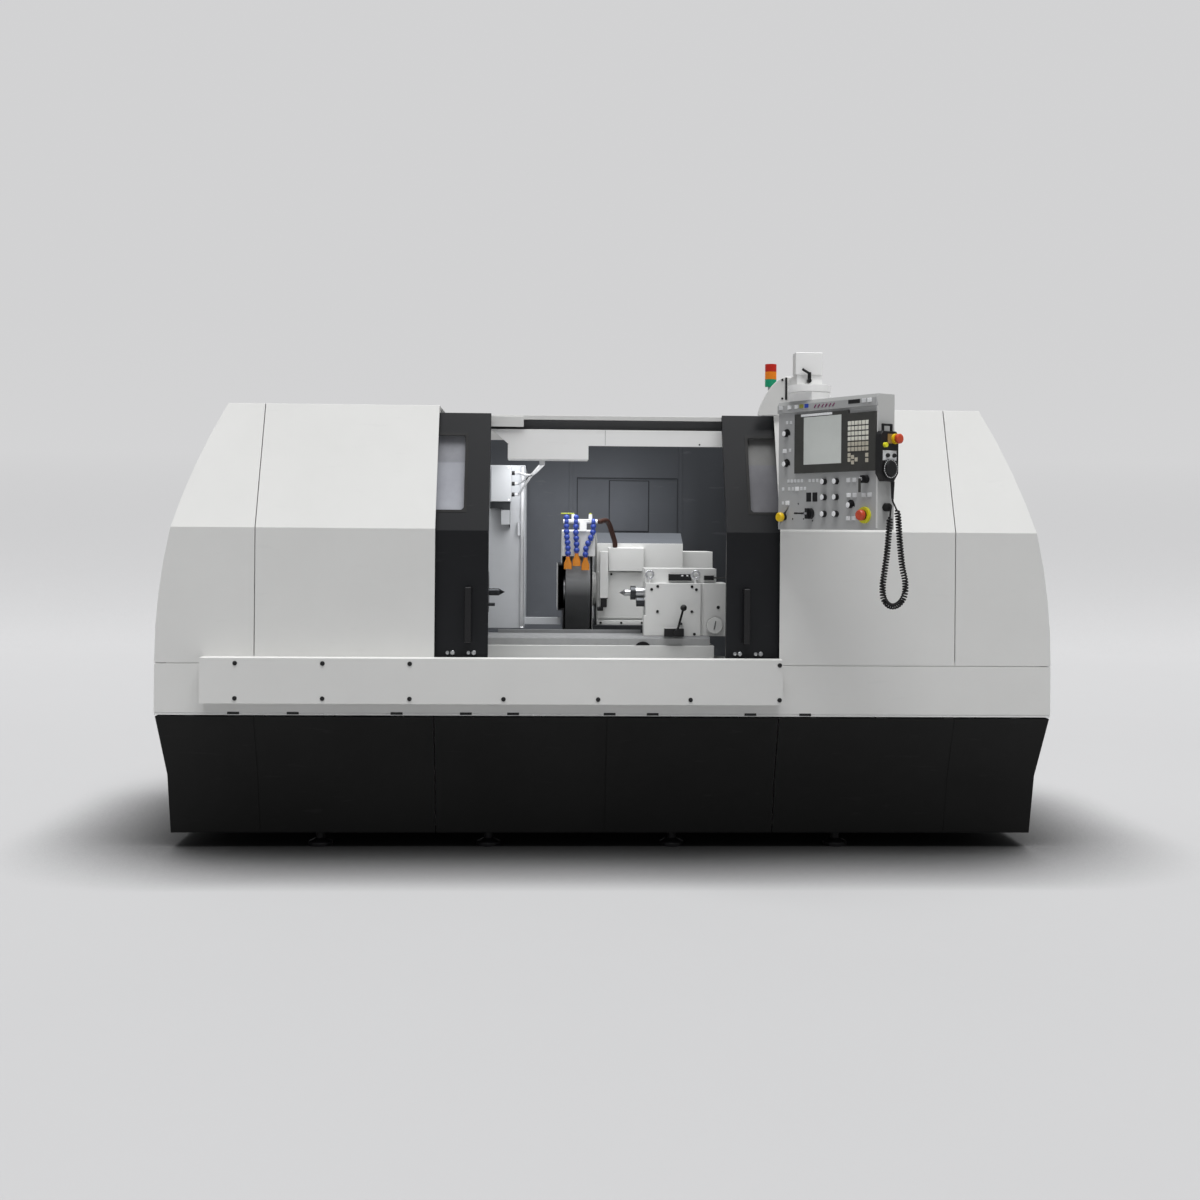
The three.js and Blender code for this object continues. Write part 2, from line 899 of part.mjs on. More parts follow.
// The black skirt, from one seam to another, with the lugs that hang it from the tray.
function skirt(from, to) {
  const front = (back) => [
    [back, skirtTop],
    [back + skirtKneeBack, skirtKnee],
    [back + skirtFootBack, skirtFoot],
  ];
  const sideways = (inset) => [
    [skirtHalf - inset, skirtTop],
    [skirtHalf - skirtKneeIn - inset, skirtKnee],
    [skirtHalf - skirtKneeIn - inset, skirtFoot],
  ];
  const body = (inset, extra) => {
    const line = front(inset);
    const profile = [
      [inset, skirtTop + extra], ...line, [line[2][0], skirtFoot - extra],
      [enclosureDepth + extra, skirtFoot - extra], [enclosureDepth + extra, skirtTop + extra],
    ];
    const flank = sideways(inset);
    const half = [[flank[0][0], skirtTop + extra], ...flank, [flank[2][0], skirtFoot - extra]];
    const outline = [...half, ...mirrored(half, -1).reverse()];
    const length = skirtHalf + overrun;
    const clean = (points) =>
      points.filter(([u, v], i) => i === 0 || u !== points[i - 1][0] || v !== points[i - 1][1]);
    return prismX(clean(profile), -length, length).intersect(
      prismY(clean(outline), inset - overrun, enclosureDepth + extra),
    );
  };
  let form = body(0, 0).subtract(body(sheet, overrun));
  form = form.intersect(
    block(from, to, -overrun, enclosureDepth + overrun, skirtFoot - lap, skirtTop + lap),
  );
  const groove = (x) =>
    block(
      x - seamGap / 2, x + seamGap / 2, -overrun, skirtFootBack, skirtFoot - lap, skirtTop + lap,
    ).subtract(body(grooveDepth, overrun));
  for (const x of [-endSeamPlace, 0, endSeamPlace]) {
    if (x > from && x < to) form = form.subtract(groove(x));
  }
  const count = Math.floor((to - from) / lugPitch);
  for (let i = 0; i < count; i += 1) {
    const x = from + ((i + 0.5) * (to - from)) / count;
    form = form.add(
      block(
        x - lugWidth / 2, x + lugWidth / 2, sheet / 2, sheet / 2 + lugDepth,
        skirtTop - sheet, trayTop - trayThick - seat,
      ),
    );
  }
  return form;
}

// The bed casting with its splash tray, the ways for table and wheelhead, and the feet.
function bed() {
  const trayHalf = halfWidth - trayInset;
  let form = joined(
    block(-bedHalf, bedHalf, bedFront, bedBack, bedBottom, trayTop),
    block(-trayHalf, trayHalf, trayInset, enclosureDepth - trayInset, trayTop - trayThick, trayTop),
    block(tableWayLeft, tableWayRight, tableWayFront, tableWayBack, trayTop - lap, wayTop),
    block(headWayLeft, headWayRight, headWayFront, headWayBack, trayTop - lap, wayTop),
  );
  for (const y of footRows) {
    for (const x of footPlaces) {
      const profile = [
        [0, 0], [footRadius, 0], [footRadius, footThick], [footStem, footThick * 2],
        [footStem, bedBottom + lap], [0, bedBottom + lap],
      ];
      form = form.add(turned(profile, 10, axisZ, [x, y, 0]));
    }
  }
  return form;
}

// The rear cover: one plate with the ends' outline and louvred panels.
function rearCover() {
  const half = [[halfWidth - skirtKneeIn, rearFoot], ...sideLine(0)];
  const outline = [...half, ...mirrored(half, -1).reverse()];
  const front = enclosureDepth + seat;
  let form = prismY(outline, front, front + rearSheet);
  for (const x of louvrePlaces) {
    for (let i = 0; i < louvreCount; i += 1) {
      const z = louvreBottom + i * louvrePitch;
      form = form.subtract(
        block(
          x - louvreWidth / 2, x + louvreWidth / 2, front - lap, front + rearSheet + lap,
          z, z + louvreSlot,
        ),
      );
    }
  }
  return form;
}

// The electrical cabinet on the back, with two raised doors and their handles.
function electricalCabinet() {
  const front = enclosureDepth + rearSheet + 2 * seat;
  const back = front + cabinetDepth;
  const lip = back + cabinetDoorLip;
  const middle = (cabinetLeft + cabinetRight) / 2;
  let form = block(cabinetLeft, cabinetRight, front, back, cabinetBottom, cabinetTop);
  for (const [a, b] of [[cabinetLeft, middle], [middle, cabinetRight]]) {
    const margin = cabinetDoorMargin;
    form = form.add(
      block(a + margin, b - margin, back - lap, lip, cabinetBottom + margin, cabinetTop - margin),
    );
    const grip = b - cabinetHandleInset;
    const height = (cabinetBottom + cabinetTop) / 2;
    form = form.add(
      block(grip, grip + cabinetHandleWidth, lip - lap, lip + cabinetDoorLip, height,
        height + cabinetHandleHeight),
    );
  }
  return form;
}

// A rounded rectangle as points, from low to high corner.
function roundedRect(u0, v0, u1, v1, radius, steps = 3) {
  const points = [];
  const quarter = Math.PI / 2;
  const corners = [
    [u1 - radius, v0 + radius, -quarter], [u1 - radius, v1 - radius, 0],
    [u0 + radius, v1 - radius, quarter], [u0 + radius, v0 + radius, 2 * quarter],
  ];
  for (const [u, v, start] of corners) {
    for (let i = 0; i <= steps; i += 1) {
      const angle = start + (quarter * i) / steps;
      points.push([u + radius * Math.cos(angle), v + radius * Math.sin(angle)]);
    }
  }
  return points;
}

// The door's outer line: it follows the covers at a distance, up to the door's top.
function doorLine(inset) {
  const [foot, fold, top] = offsetLine(coverLine, inset);
  return [[foot[0], doorFoot], fold, atHeight(fold, top, doorTop)];
}

// One sliding door, open as at rest: the bent panel with its window opening and rollers.
function door(side) {
  const [lead, tail] = [doorOpenEdge, doorOpenEdge + doorWidth];
  const outline = thickened(doorLine(doorInset), doorThick);
  const panel = spanX((a, b) => prismX(outline, a, b), side * lead, side * tail);
  const opening = roundedRect(
    lead + windowFrame, windowBottom, tail - windowFrame, windowTop, windowCorner,
  );
  const cut = prismY(mirrored(opening, side), 0, coverLean + overrun + doorThick * 3);
  const rollers = rollerPlaces.map((offset) =>
    disc(rollerRadius, 0, rollerProud + lap, 8, axisY, [
      side * (handlePlace - offset), doorInset - rollerProud, doorFoot + rollerHeight,
    ]),
  );
  return joined(panel.subtract(cut), ...rollers);
}

// The pane behind the door's window opening.
function doorWindow(side) {
  const depth = doorInset + doorThick + seat;
  const [, fold, top] = doorLine(depth);
  const low = atHeight(fold, top, windowBottom - paneLap);
  const high = atHeight(fold, top, windowTop + paneLap);
  const outline = thickened([low, high], paneThick);
  return spanX(
    (a, b) => prismX(outline, a, b),
    side * (doorOpenEdge + windowFrame - paneLap),
    side * (doorOpenEdge + doorWidth - windowFrame + paneLap),
  );
}

// The door's upright bar handle on two posts.
function doorHandle(side) {
  const x = side * handlePlace;
  const [low, high] = [x - handleWidth / 2, x + handleWidth / 2];
  const front = doorInset - handleStand;
  const post = (z) => block(low, high, front + lap, doorInset - seat, z, z + handlePost);
  return joined(
    block(low, high, front, front + handleThick, handleBottom, handleTop),
    post(handleBottom),
    post(handleTop - handlePost),
  );
}

// The beam over the opening that the doors' tops run along, hung from the roof panels.
function roofBeam() {
  const half = openingHalf + hangerWidth;
  const profile = [
    [beamFront, beamTop - beamLip], [beamFront, beamTop], [beamBack, beamTop],
    [beamBack, valanceTop], [beamBack - beamWeb, valanceTop], [beamBack - beamWeb, beamTop - beamLip],
  ];
  let form = prismX(profile, -half, half);
  for (const side of [-1, 1]) {
    form = form.add(
      spanX(
        (a, b) =>
          block(a, b, beamBack - hangerDepth, beamBack, beamTop - lap, coverTop - sheet - seat),
        side * (openingHalf + sheet),
        side * half,
      ),
    );
  }
  return form.add(
    block(trimLeft, trimRight, beamFront - trimThick, beamFront + lap, trimBottom, beamTop - trimDrop),
  );
}

// The white valance under the beam, with the work lamp's housing hanging from it.
function valance() {
  const top = valanceTop - seat;
  const plate = prismX(
    thickened([[beamBack, top], [valanceFront, top], [valanceFront, valanceBottom]], -sheet),
    -openingHalf,
    openingHalf,
  );
  const corner = prismY(
    [
      [-openingHalf - overrun, valanceBottom], [valanceCutFoot, valanceBottom],
      [valanceCutTop, valanceTop - sheet - seat], [-openingHalf - overrun, valanceTop - sheet - seat],
    ],
    valanceFront - overrun,
    valanceFront + overrun,
  );
  const lamp = block(lampLeft, lampRight, valanceFront, lampBack, lampBottom, valanceBottom + sheet);
  return joined(plate.subtract(corner), lamp);
}

// The dark back wall with its raised panel and ribs.
function backWall() {
  const face = backWallPlace;
  const foot = trayTop + seat;
  const frame = (x0, x1, z0, z1) =>
    block(x0, x1, face - wallPanelRise, face + lap, z0, z1);
  let form = joined(
    block(-openingHalf, backWallRight, face, face + wallSheet, foot, backWallTop),
    frame(
      wallPanelLeft, wallPanelLeft + wallPanelWidth, wallPanelBottom,
      wallPanelBottom + wallPanelHeight,
    ),
  );
  for (const x of wallRibPlaces) {
    form = form.add(frame(x, x + wallRibWidth, foot, backWallTop));
  }
  return form;
}

// The light wall on the left of the work zone, turned back along the wheelhead, and its ledge.
function leftWall() {
  const plan = [
    [-openingHalf, leftWallFront],
    [leftWallEdge, leftWallFront],
    [leftWallEdge, backWallPlace - wallPanelRise - seat],
  ];
  const wall = prismZ(thickened(plan, -sheet), leftWallBottom, leftWallTop);
  const ledge = block(
    leftWallEdge - lap, leftWallEdge + ledgeWidth, ledgePlace, ledgePlace + ledgeDepth,
    leftWallBottom, leftWallBottom + ledgeHeight,
  );
  const shelf = prismY(
    [
      [shelfLeft, shelfBend], [shelfKnee, shelfBend], [shelfRight, shelfFoot],
      [shelfRight, junctionBottom - seat], [shelfLeft, junctionBottom - seat],
    ],
    leftWallFront - shelfDepth,
    leftWallFront + lap,
  );
  return joined(wall, ledge, shelf);
}

const curve = (points) =>
  new THREE.CatmullRomCurve3(points.map((p) => new THREE.Vector3(...p)), false, "centripetal");

// Points along a hose whose first and last stretch are straight, so its ends are square.
function hosePath(points, steps) {
  const [first, last] = [points[0], points[points.length - 1]];
  const middle = curve(points.slice(1, -1)).getPoints(steps);
  return [new THREE.Vector3(...first), ...middle, new THREE.Vector3(...last)];
}

// The junction box on the left wall and the three hoses that run from it to the lamp.
function junctionBox() {
  const back = leftWallFront - seat;
  const front = back - junctionDepth;
  const middle = (front + back) / 2;
  let form = block(junctionLeft, junctionRight, front, back, junctionBottom, junctionTop);
  glandShares.forEach((share, i) => {
    const z = junctionBottom + (junctionTop - junctionBottom) * share;
    const out = junctionRight + glandLength;
    const [endX, endY] = [hoseEndX + (i - 1) * hoseRadius, lampBack - glandLength];
    form = form.add(disc(glandRadius, -lap, glandLength, 8, axisX, [junctionRight, middle, z]));
    const route = [
      [out - lap, middle, z],
      [out + hoseLead, middle, z],
      hoseMeet,
      [endX, endY, lampBottom - hoseLead],
      [endX, endY, lampBottom - seat],
    ];
    form = form.add(swept(hosePath(route, 7), () => hoseRadius, 6));
  });
  return form;
}

// Machine table in two layers; the upper one swivels for tapers when it is set up.
function tableLower() {
  const back = tableFront + tableDepth;
  const outline = [
    [tableFront, tableLowerBottom], [tableFront, tableLowerTop], [back, tableLowerTop],
    [back, tableLowerBottom],
  ];
  return prismX(outline, tableLowerLeft, tableLowerRight);
}

function tableUpper() {
  const [front, back] = [tableFront + tableUpperInset, tableFront + tableDepth - tableUpperInset];
  const foot = tableLowerTop + seat;
  const outline = [
    [front, foot], [front, tableTop - tableBevel], [front + tableBevel, tableTop],
    [back, tableTop], [back, foot],
  ];
  return prismX(outline, tableUpperLeft, tableUpperRight);
}

const centreZ = tableTop + centreHeight;

function workhead() {
  const foot = tableTop + seat;
  const shoulder = centreZ + workheadHalf - workheadShoulder / 2;
  const outline = [
    [centreY - workheadHalf, foot], [centreY - workheadHalf, shoulder],
    [centreY - workheadHalf + workheadShoulder / 2, centreZ + workheadHalf],
    [centreY + workheadHalf, centreZ + workheadHalf], [centreY + workheadHalf, foot],
  ];
  const body = prismX(outline, workheadLeft, workheadFace - noseLength);
  const nose = disc(
    noseRadius, -noseLength - lap, 0, 20, axisX, [workheadFace - seat, centreY, centreZ],
  );
  return body.add(nose);
}

function workheadSpindle() {
  const at = [workheadFace, centreY, centreZ];
  const reach = workCentreReach - workheadFace;
  const centre = turned(
    [
      [0, 0], [faceplateRadius, 0], [faceplateRadius, faceplateThick],
      [workCentreRadius, faceplateThick],
      [workCentreRadius, reach - workCentreRadius * Math.sqrt(3)],
      [0, reach],
    ],
    20, axisX, at,
  );
  const driver = disc(driverRadius, faceplateThick - lap, faceplateThick + driverLength, 8, axisX, [
    workheadFace, centreY, centreZ - driverOffset,
  ]);
  return centre.add(driver);
}

// The tailstock: casting, front plate with screws, cap with lifting eyes, lever block.
function tailstock() {
  const foot = tableTop + seat;
  const front = tailFront - tailPlateThick;
  let form = joined(
    block(tailLeft, tailSplit, tailFront, tailBack, foot, tailTop),
    block(tailSplit - lap, tailRight, tailFront + tailPlateThick, tailBack, foot, tailTop),
    block(tailSplit + tailSplitGap, tailRight, tailFront, tailBack - lap, foot, tailTop),
    prismY(
      [
        [tailPlateLeft, foot], [tailPlateLeft, tailPlateStep], [tailLeft, tailPlateStep],
        [tailLeft, tailTop], [tailSplit - tailPlateInset, tailTop],
        [tailSplit - tailPlateInset, foot],
      ],
      front,
      tailFront + lap,
    ),
    block(tailCapLeft, tailCapRight, tailCapFront, tailCapBack, tailTop - lap, tailCapTop),
    block(
      sensorLeft, sensorLeft + sensorWidth, tailCapFront - sensorDepth, tailCapFront + lap,
      tailTop + sensorLift, tailTop + sensorLift + sensorHeight,
    ),
  );
  for (const x of eyePlaces) {
    const z = tailTop + eyeLift;
    const eye = turned(
      [
        [eyeBore, -eyeThick / 2], [eyeRadius, -eyeThick / 2], [eyeRadius, eyeThick / 2],
        [eyeBore, eyeThick / 2], [eyeBore, -eyeThick / 2],
      ],
      12, axisY, [x, tailFront + eyeThick, z],
    );
    const shank = disc(eyeThick / 2, -lap, eyeLift - eyeBore - lap, 8, axisZ, [
      x, tailFront + eyeThick, tailTop,
    ]);
    form = form.add(eye.add(shank));
  }
  form = form.add(
    block(
      leverBlockLeft, leverBlockLeft + leverBlockWidth, front - leverBlockDepth, front + lap,
      foot, foot + leverBlockHeight,
    ),
  );
  form = form.add(
    disc(adjusterRadius, -adjusterLength, lap, 10, axisX, [
      tailLeft, centreY - adjusterForward, centreZ - adjusterDrop,
    ]),
  );
  form = form.add(
    disc(plugRadius, -plugProud, lap, 8, axisY, [plugX, tailFront, plugZ]),
  );
  const [probeRight, probeFoot] = [probeLeft + probeWidth, tailTop + probeLift];
  const probeMiddle = [
    probeRight - lap, tailCapFront - probeDepth / 2, probeFoot + probeHeight / 2,
  ];
  form = joined(
    form,
    block(tailRight - lap, tailRight + tailEndWidth, tailEndFront, tailEndBack, tailEndBottom, tailEndTop),
    block(
      probeLeft, probeRight, tailCapFront - probeDepth, tailCapFront + lap, probeFoot,
      probeFoot + probeHeight,
    ),
    disc(probeRod, 0, probeReach, 6, axisX, probeMiddle),
  );
  const bore = disc(quillRadius + quillClearance, -lap, quillInside + quillTravel + quillSpare, 16, axisX, [
    tailLeft, centreY, centreZ,
  ]);
  return form.subtract(bore);
}

function tailstockQuill() {
  const reach = (x) => x - quillTip;
  const profile = [
    [0, 0], [quillPointRadius, quillConeLength], [quillPointRadius, reach(quillCollarLeft)],
    [quillCollarRadius, reach(quillCollarLeft)], [quillCollarRadius, reach(quillCollarRight)],
    [quillRadius, reach(quillCollarRight)], [quillRadius, reach(tailLeft + quillInside)],
    [0, reach(tailLeft + quillInside)],
  ];
  return turned(profile, 16, axisX, [quillTip, centreY, centreZ]);
}

function tailstockLever() {
  const face = tailFront - tailPlateThick - leverBlockDepth - seat;
  const z = tableTop + leverPivotRise;
  const middle = face - leverHubThick / 2;
  const lean = THREE.MathUtils.degToRad(leverLean);
  const end = [
    leverPivotX + leverReach * Math.sin(lean), middle, z + leverReach * Math.cos(lean),
  ];
  const ball = new THREE.SphereGeometry(leverBall, 10, 8);
  ball.translate(...end);
  return joined(
    disc(leverHub, -leverHubThick, 0, 10, axisY, [leverPivotX, face, z]),
    bar(leverRod, [leverPivotX, middle, z], end, 6),
    solid(ball),
  );
}

const tailstockDial = () =>
  disc(dialRadius, -dialThick, 0, 20, axisY, [dialPlaceX, tailFront - seat, dialPlaceZ]);

function wheelheadSlide() {
  return block(
    headLeft - slideInset, headRight, slideFront, slideBack, tableLowerBottom, headFoot - seat,
  );
}

// The wheelhead: housing, foot flange, front panels and the motor cover on its right.
function wheelhead() {
  const outline = [
    [headFront, headFoot], [headFront, headTop], [headFront + headCrownRun, headCrown],
    [headBack, headCrown], [headBack, headFoot],
  ];
  return joined(
    prismX(outline, headLeft, headRight),
    block(
      headLeft, headRight, headFront - headFlangeProud, headFront + lap, headFoot,
      headFoot + headFlangeRise,
    ),
    block(
      headLeft + panelGap, coverPlateRight, headFront - frontPanelThick, headFront + lap,
      frontPanelBottom, coverPlateBottom - panelGap,
    ),
    block(
      coverPlateLeft, coverPlateRight, headFront - coverPlateThick, headFront + lap,
      coverPlateBottom, coverPlateTop,
    ),
    block(headRight - lap, motorRight, motorFront, motorBack, motorBottom, motorTop),
  );
}

const wheelY = wheelFront + wheelRadius;

// The grinding wheel between its flanges on the end of the spindle.
function grindingWheel() {
  const at = (x) => x - wheelLeft;
  const profile = [
    [0, -flangeThick * 2], [spindleRadius, -flangeThick * 2], [flangeRadius, -flangeThick],
    [flangeRadius, 0], [wheelRadius, 0], [wheelRadius, at(wheelRight)],
    [flangeRadius, at(wheelRight)], [spindleRadius, at(wheelRight)],
    [spindleRadius, at(headLeft) - seat], [0, at(headLeft) - seat],
  ];
  return turned(profile, 32, axisX, [wheelLeft, wheelY, centreZ]);
}

// The wheel guard: an open-fronted shell round the wheel, with the white box over its mouth.
function wheelGuard() {
  const drum = (radius, x0, x1, sides) =>
    disc(radius, x0, x1, sides, axisX, [0, wheelY, centreZ]);
  const step = (x, z) =>
    block(guardLeft - overrun, x, 0, wheelY + guardRadius * 2, 0, z);
  const shoulder = (x, z) =>
    block(guardLeft - overrun, x, 0, wheelY + guardRadius * 2, z, centreZ + guardRadius * 2);
  const shell = drum(guardRadius, guardLeft, guardRight, 28)
    .subtract(step(guardStepX, guardStepZ))
    .subtract(shoulder(guardBoxLeft, guardShoulder));
  const inside = drum(
    guardRadius - guardShell, guardLeft + guardWall, guardRight - guardWall, 28,
  )
    .subtract(step(guardStepX + guardWall, guardStepZ + guardWall))
    .subtract(shoulder(guardBoxLeft + guardWall, guardShoulder - guardWall));
  const mouth = block(
    guardLeft - overrun, guardRight + overrun, 0, guardFront, 0, centreZ + guardRadius * 2,
  );
  const shaftHole = drum(guardBossBore, guardRight - guardWall - lap, headLeft, 16);
  const boss = drum(guardBossRadius, guardRight - lap, headLeft - seat, 16);
  return joined(
    shell.subtract(inside).subtract(mouth),
    boss,
    block(
      guardBoxLeft, guardBoxRight, guardBoxFront, guardFront + guardShell * 2, guardBoxBottom,
      guardBoxTop,
    ).subtract(inside),
  ).subtract(shaftHole);
}

// The in-process gauge on the wheelhead's front.
function gaugeHead() {
  const back = headFront - frontPanelThick - seat;
  const tip = gaugeBottom - gaugeTipDrop;
  const inset = gaugeTipInset;
  const front = gaugeFront + inset;
  return joined(
    block(gaugeLeft, gaugeRight, gaugeFront, back, gaugeBottom, gaugeTop),
    block(
      gaugeLeft + inset, gaugeRight - inset, front, front + gaugeFootThick, tip, gaugeBottom + lap,
    ),
    block(
      gaugeLeft - gaugeFootOut, gaugeRight - gaugeFootOut * 2, front, front + gaugeFootThick,
      tip - gaugeFootDrop, tip + lap,
    ),
  );
}

// The coolant rail on the guard, its bracket and two valves.
function coolantManifold() {
  const rail = disc(manifoldRadius, manifoldLeft, manifoldRight, 10, axisX, [
    0, manifoldY, manifoldHeight,
  ]);
  const bracket = block(
    bracketX - bracketWidth / 2, bracketX + bracketWidth / 2, manifoldY - manifoldRadius,
    manifoldY + bracketReach, guardBoxTop + seat, manifoldHeight,
  );
  const valves = valvePlaces.map((x) =>
    disc(valveRadius, 0, valveRise, 8, axisZ, [x, manifoldY, manifoldHeight]),
  );
  return joined(rail, bracket, ...valves);
}

// A valve's flat lever, lying along an axis from its pivot.
function valveLever(i) {
  const z = manifoldHeight + valveRise + seat;
  const [x, y] = [valvePlaces[i], manifoldY];
  const half = valveLeverWidth / 2;
  const along = valveLeverLength - half;
  return i === 0
    ? block(x - along, x + half, y - half, y + half, z, z + valveLeverThick)
    : block(x - half, x + half, y - half, y + along, z, z + valveLeverThick);
}

// A jointed coolant hose: a string of beads along a curve, with a flared nozzle on its end.
function coolantHose(i) {
  const top = manifoldHeight - manifoldRadius - seat;
  const [x0, x1] = [hoseTops[i], hoseFeet[i]];
  const hoseFoot = hoseFoots[i];
  const drop = top - hoseFoot;
  const route = curve([
    [x0, manifoldY, top], [x0, manifoldY, top - drop * hoseBendShares[0]],
    [x1, manifoldY, top - drop * hoseBendShares[1]], [x1, manifoldY, hoseFoot],
  ]);
  const beads = Math.round(drop / beadPitch);
  const points = route.getSpacedPoints(beads * 3);
  const string = swept(points, (k) => (k % 3 === 0 ? beadNeck : beadRadius), 8);
  const foot = hoseFoot + lap;
  const flare = foot - nozzleDrop * nozzleFlareShare;
  const outline = [
    [x1 - nozzleNeck, foot], [x1 + nozzleNeck, foot], [x1 + nozzleHalf, flare],
    [x1 + nozzleHalf, foot - nozzleDrop], [x1 - nozzleHalf, foot - nozzleDrop],
    [x1 - nozzleHalf, flare],
  ];
  const nozzle = prismY(outline, manifoldY - nozzleThick / 2, manifoldY + nozzleThick / 2);
  return string.add(nozzle);
}

// The hose that feeds the coolant rail from the wheelhead's front cover.
function supplyHose() {
  const start = manifoldRight + seat;
  const foot = coverPlateTop + seat;
  const y = headFront - coverPlateThick / 2;
  const route = [
    [start, manifoldY, manifoldHeight],
    [start + supplyRadius, manifoldY, manifoldHeight],
    [supplyArchX, (manifoldY + y) / 2, manifoldHeight],
    [supplyEndX, y, foot + supplyRadius * 2],
    [supplyEndX, y, foot],
  ];
  return swept(hosePath(route, 14), () => supplyRadius, 8);
}

// The signal tower: green lens on its pole, then amber, then red under a cap.
function signalTower(machine) {
  const at = [towerX, towerY, 0];
  const bottoms = [0, 1, 2].map((i) => towerGreenBottom + i * (towerLens + seat));
  const lens = (z) => disc(towerRadius, z, z + towerLens, 16, axisZ, at);
  const pole = disc(towerPole, coverTop + seat, towerGreenBottom + lap, 10, axisZ, at);
  const foot = disc(towerRadius, coverTop + seat, coverTop + towerPole, 10, axisZ, at);
  place(machine, "signal_green_lens", joined(lens(bottoms[0]), pole, foot), green);
  place(machine, "signal_amber_lens", lens(bottoms[1]), amber);
  place(machine, "signal_red_lens", lens(bottoms[2]), red);
}

// The arm that carries the pendant: an upright cap on a short front part, a narrower beam behind
// it, a foot on the roof and the curved fin beside it.
function pendantArm() {
  const [left, right] = [swivelX + armOffset - armHalf, swivelX + armOffset + armHalf];
  const foot = coverTop + seat;
  const frontEnd = armFront + armFrontDepth;
  const fin = [[armRearLeft + lap, finTop]];
  for (let i = 0; i <= arcSteps; i += 1) {
    const angle = (Math.PI / 2) * (1 - i / arcSteps);
    fin.push([
      finRight - (finRight - finLeft) * Math.cos(angle) ** finBulge,
      finBottom + (finTop - finBottom) * Math.sin(angle) ** finBulge,
    ]);
  }
  fin.push([armRearLeft + lap, finBottom]);
  return joined(
    block(left, right, armFront, armFront + armCapDepth, armStep, armTop),
    block(
      left + armLowerInset, right, armFront + armLowerInset, frontEnd, armUnder, armStep + lap,
    ),
    block(armRearLeft, right, frontEnd - lap, armBack, armUnder, armStep - lap),
    block(armRearLeft, right, armFoot, armBack, foot, armUnder + lap),
    prismY(fin, finFront, finFront + finThick),
  );
}

// The clamping lever: hub, upright stem and a handle leaning to the left.
function clampLever() {
  const x = swivelX + armOffset;
  const face = armFront + armLowerInset - seat;
  const y = face - clampHubLength;
  const stemTop = clampHeight + clampStemRise;
  return joined(
    disc(clampHub, -clampHubLength - clampStem, 0, 10, axisY, [x, face, clampHeight]),
    bar(clampStem, [x, y, clampHeight], [x, y, stemTop], 8),
    bar(clampRod, [x, y, stemTop - clampRod], [x - clampReach, y, stemTop - clampRod + clampRise], 8),
  );
}

// In the pendant's own frame X runs along its face, Y goes into it, and the swivel is at zero.
const faceDisc = (radius, proud, sunk, x, z, sides) =>
  disc(radius, -proud, sunk, sides, axisY, [x, pendantFace, z]);

const acrossFace = (share) => pendantLeft + share * (pendantRight - pendantLeft);
const upFace = (share) => pendantBottom + share * (pendantTop - pendantBottom);

// The pendant housing: neck and swivel disc, header strip, small buttons and override knobs.
function pendantBox() {
  const plan = [
    [pendantLeft, pendantFace], [pendantRight, pendantFace],
    [pendantRight, pendantBack - pendantBevel], [pendantRight - pendantBevel, pendantBack],
    [pendantLeft + pendantBevel, pendantBack], [pendantLeft, pendantBack - pendantBevel],
  ];
  const grooveFoot = swivelDiscBottom - swivelGroove;
  const neck = turned(
    [
      [0, pendantTop - lap], [swivelNeckRadius, pendantTop - lap],
      [swivelNeckRadius, grooveFoot], [swivelNeckRadius - swivelGroove, grooveFoot],
      [swivelNeckRadius - swivelGroove, swivelDiscBottom], [swivelDiscRadius, swivelDiscBottom],
      [swivelDiscRadius, armUnder - seat], [0, armUnder - seat],
    ],
    28, axisZ, [0, 0, 0],
  ).subtract(
    block(
      -swivelDiscRadius, swivelDiscRadius, -swivelDiscRadius - overrun, pendantFace,
      pendantTop - overrun, swivelDiscBottom,
    ),
  );
  const header = prismX(
    [
      [pendantFace + lap, headerBottom], [pendantFace, headerBottom],
      [pendantFace - headerProud, pendantTop - pendantBevel], [pendantFace, pendantTop],
      [pendantFace + lap, pendantTop],
    ],
    pendantLeft,
    pendantRight,
  );
  const overrideKnob = (x, z) =>
    joined(
      faceDisc(knobRadius, knobProud - knobFaceProud, lap, x, z, 10),
      faceDisc(knobFaceRadius, knobProud, lap, x, z, 10),
    );
  const cap = (acrossShare, upShare, width, height, proud) => {
    const [x, z] = [acrossFace(acrossShare), upFace(upShare)];
    return block(
      x - width / 2, x + width / 2, pendantFace - proud, pendantFace + lap, z - height / 2,
      z + height / 2,
    );
  };
  const hole = (x, z) =>
    disc(stopStem + stemClearance, -stopRingProud - lap, stemInside + pushTravel, 14, axisY, [
      x, pendantFace, z,
    ]);
  return joined(
    prismZ(plan, pendantBottom, pendantTop),
    neck,
    header,
    ...capAcrossShares.map((x, i) => cap(x, capUpShares[i], capWidth, capHeight, capProud)),
    ...lampAcrossShares.map((x, i) => cap(x, lampUpShares[i], lampWidth, lampWidth, lampProud)),
    ...headerAcrossShares.map((x) =>
      cap(x, headerUpShare, capWidth, capHeight, headerProud + capProud),
    ),
    ...indicatorAcrossShares.map((x) =>
      cap(x, indicatorUpShare, indicatorWidth, indicatorHeight, lampProud),
    ),
    cap(displayAcrossShare, headerUpShare, displayWidth, capHeight, headerProud + lampProud),
    ...knobAcrossShares.map((x, i) => overrideKnob(acrossFace(x), upFace(knobUpShares[i]))),
    faceDisc(stopRing, stopRingProud, lap, stopX, stopZ, 16),
  ).subtract(hole(stopX, stopZ)).subtract(hole(yellowX, yellowZ));
}

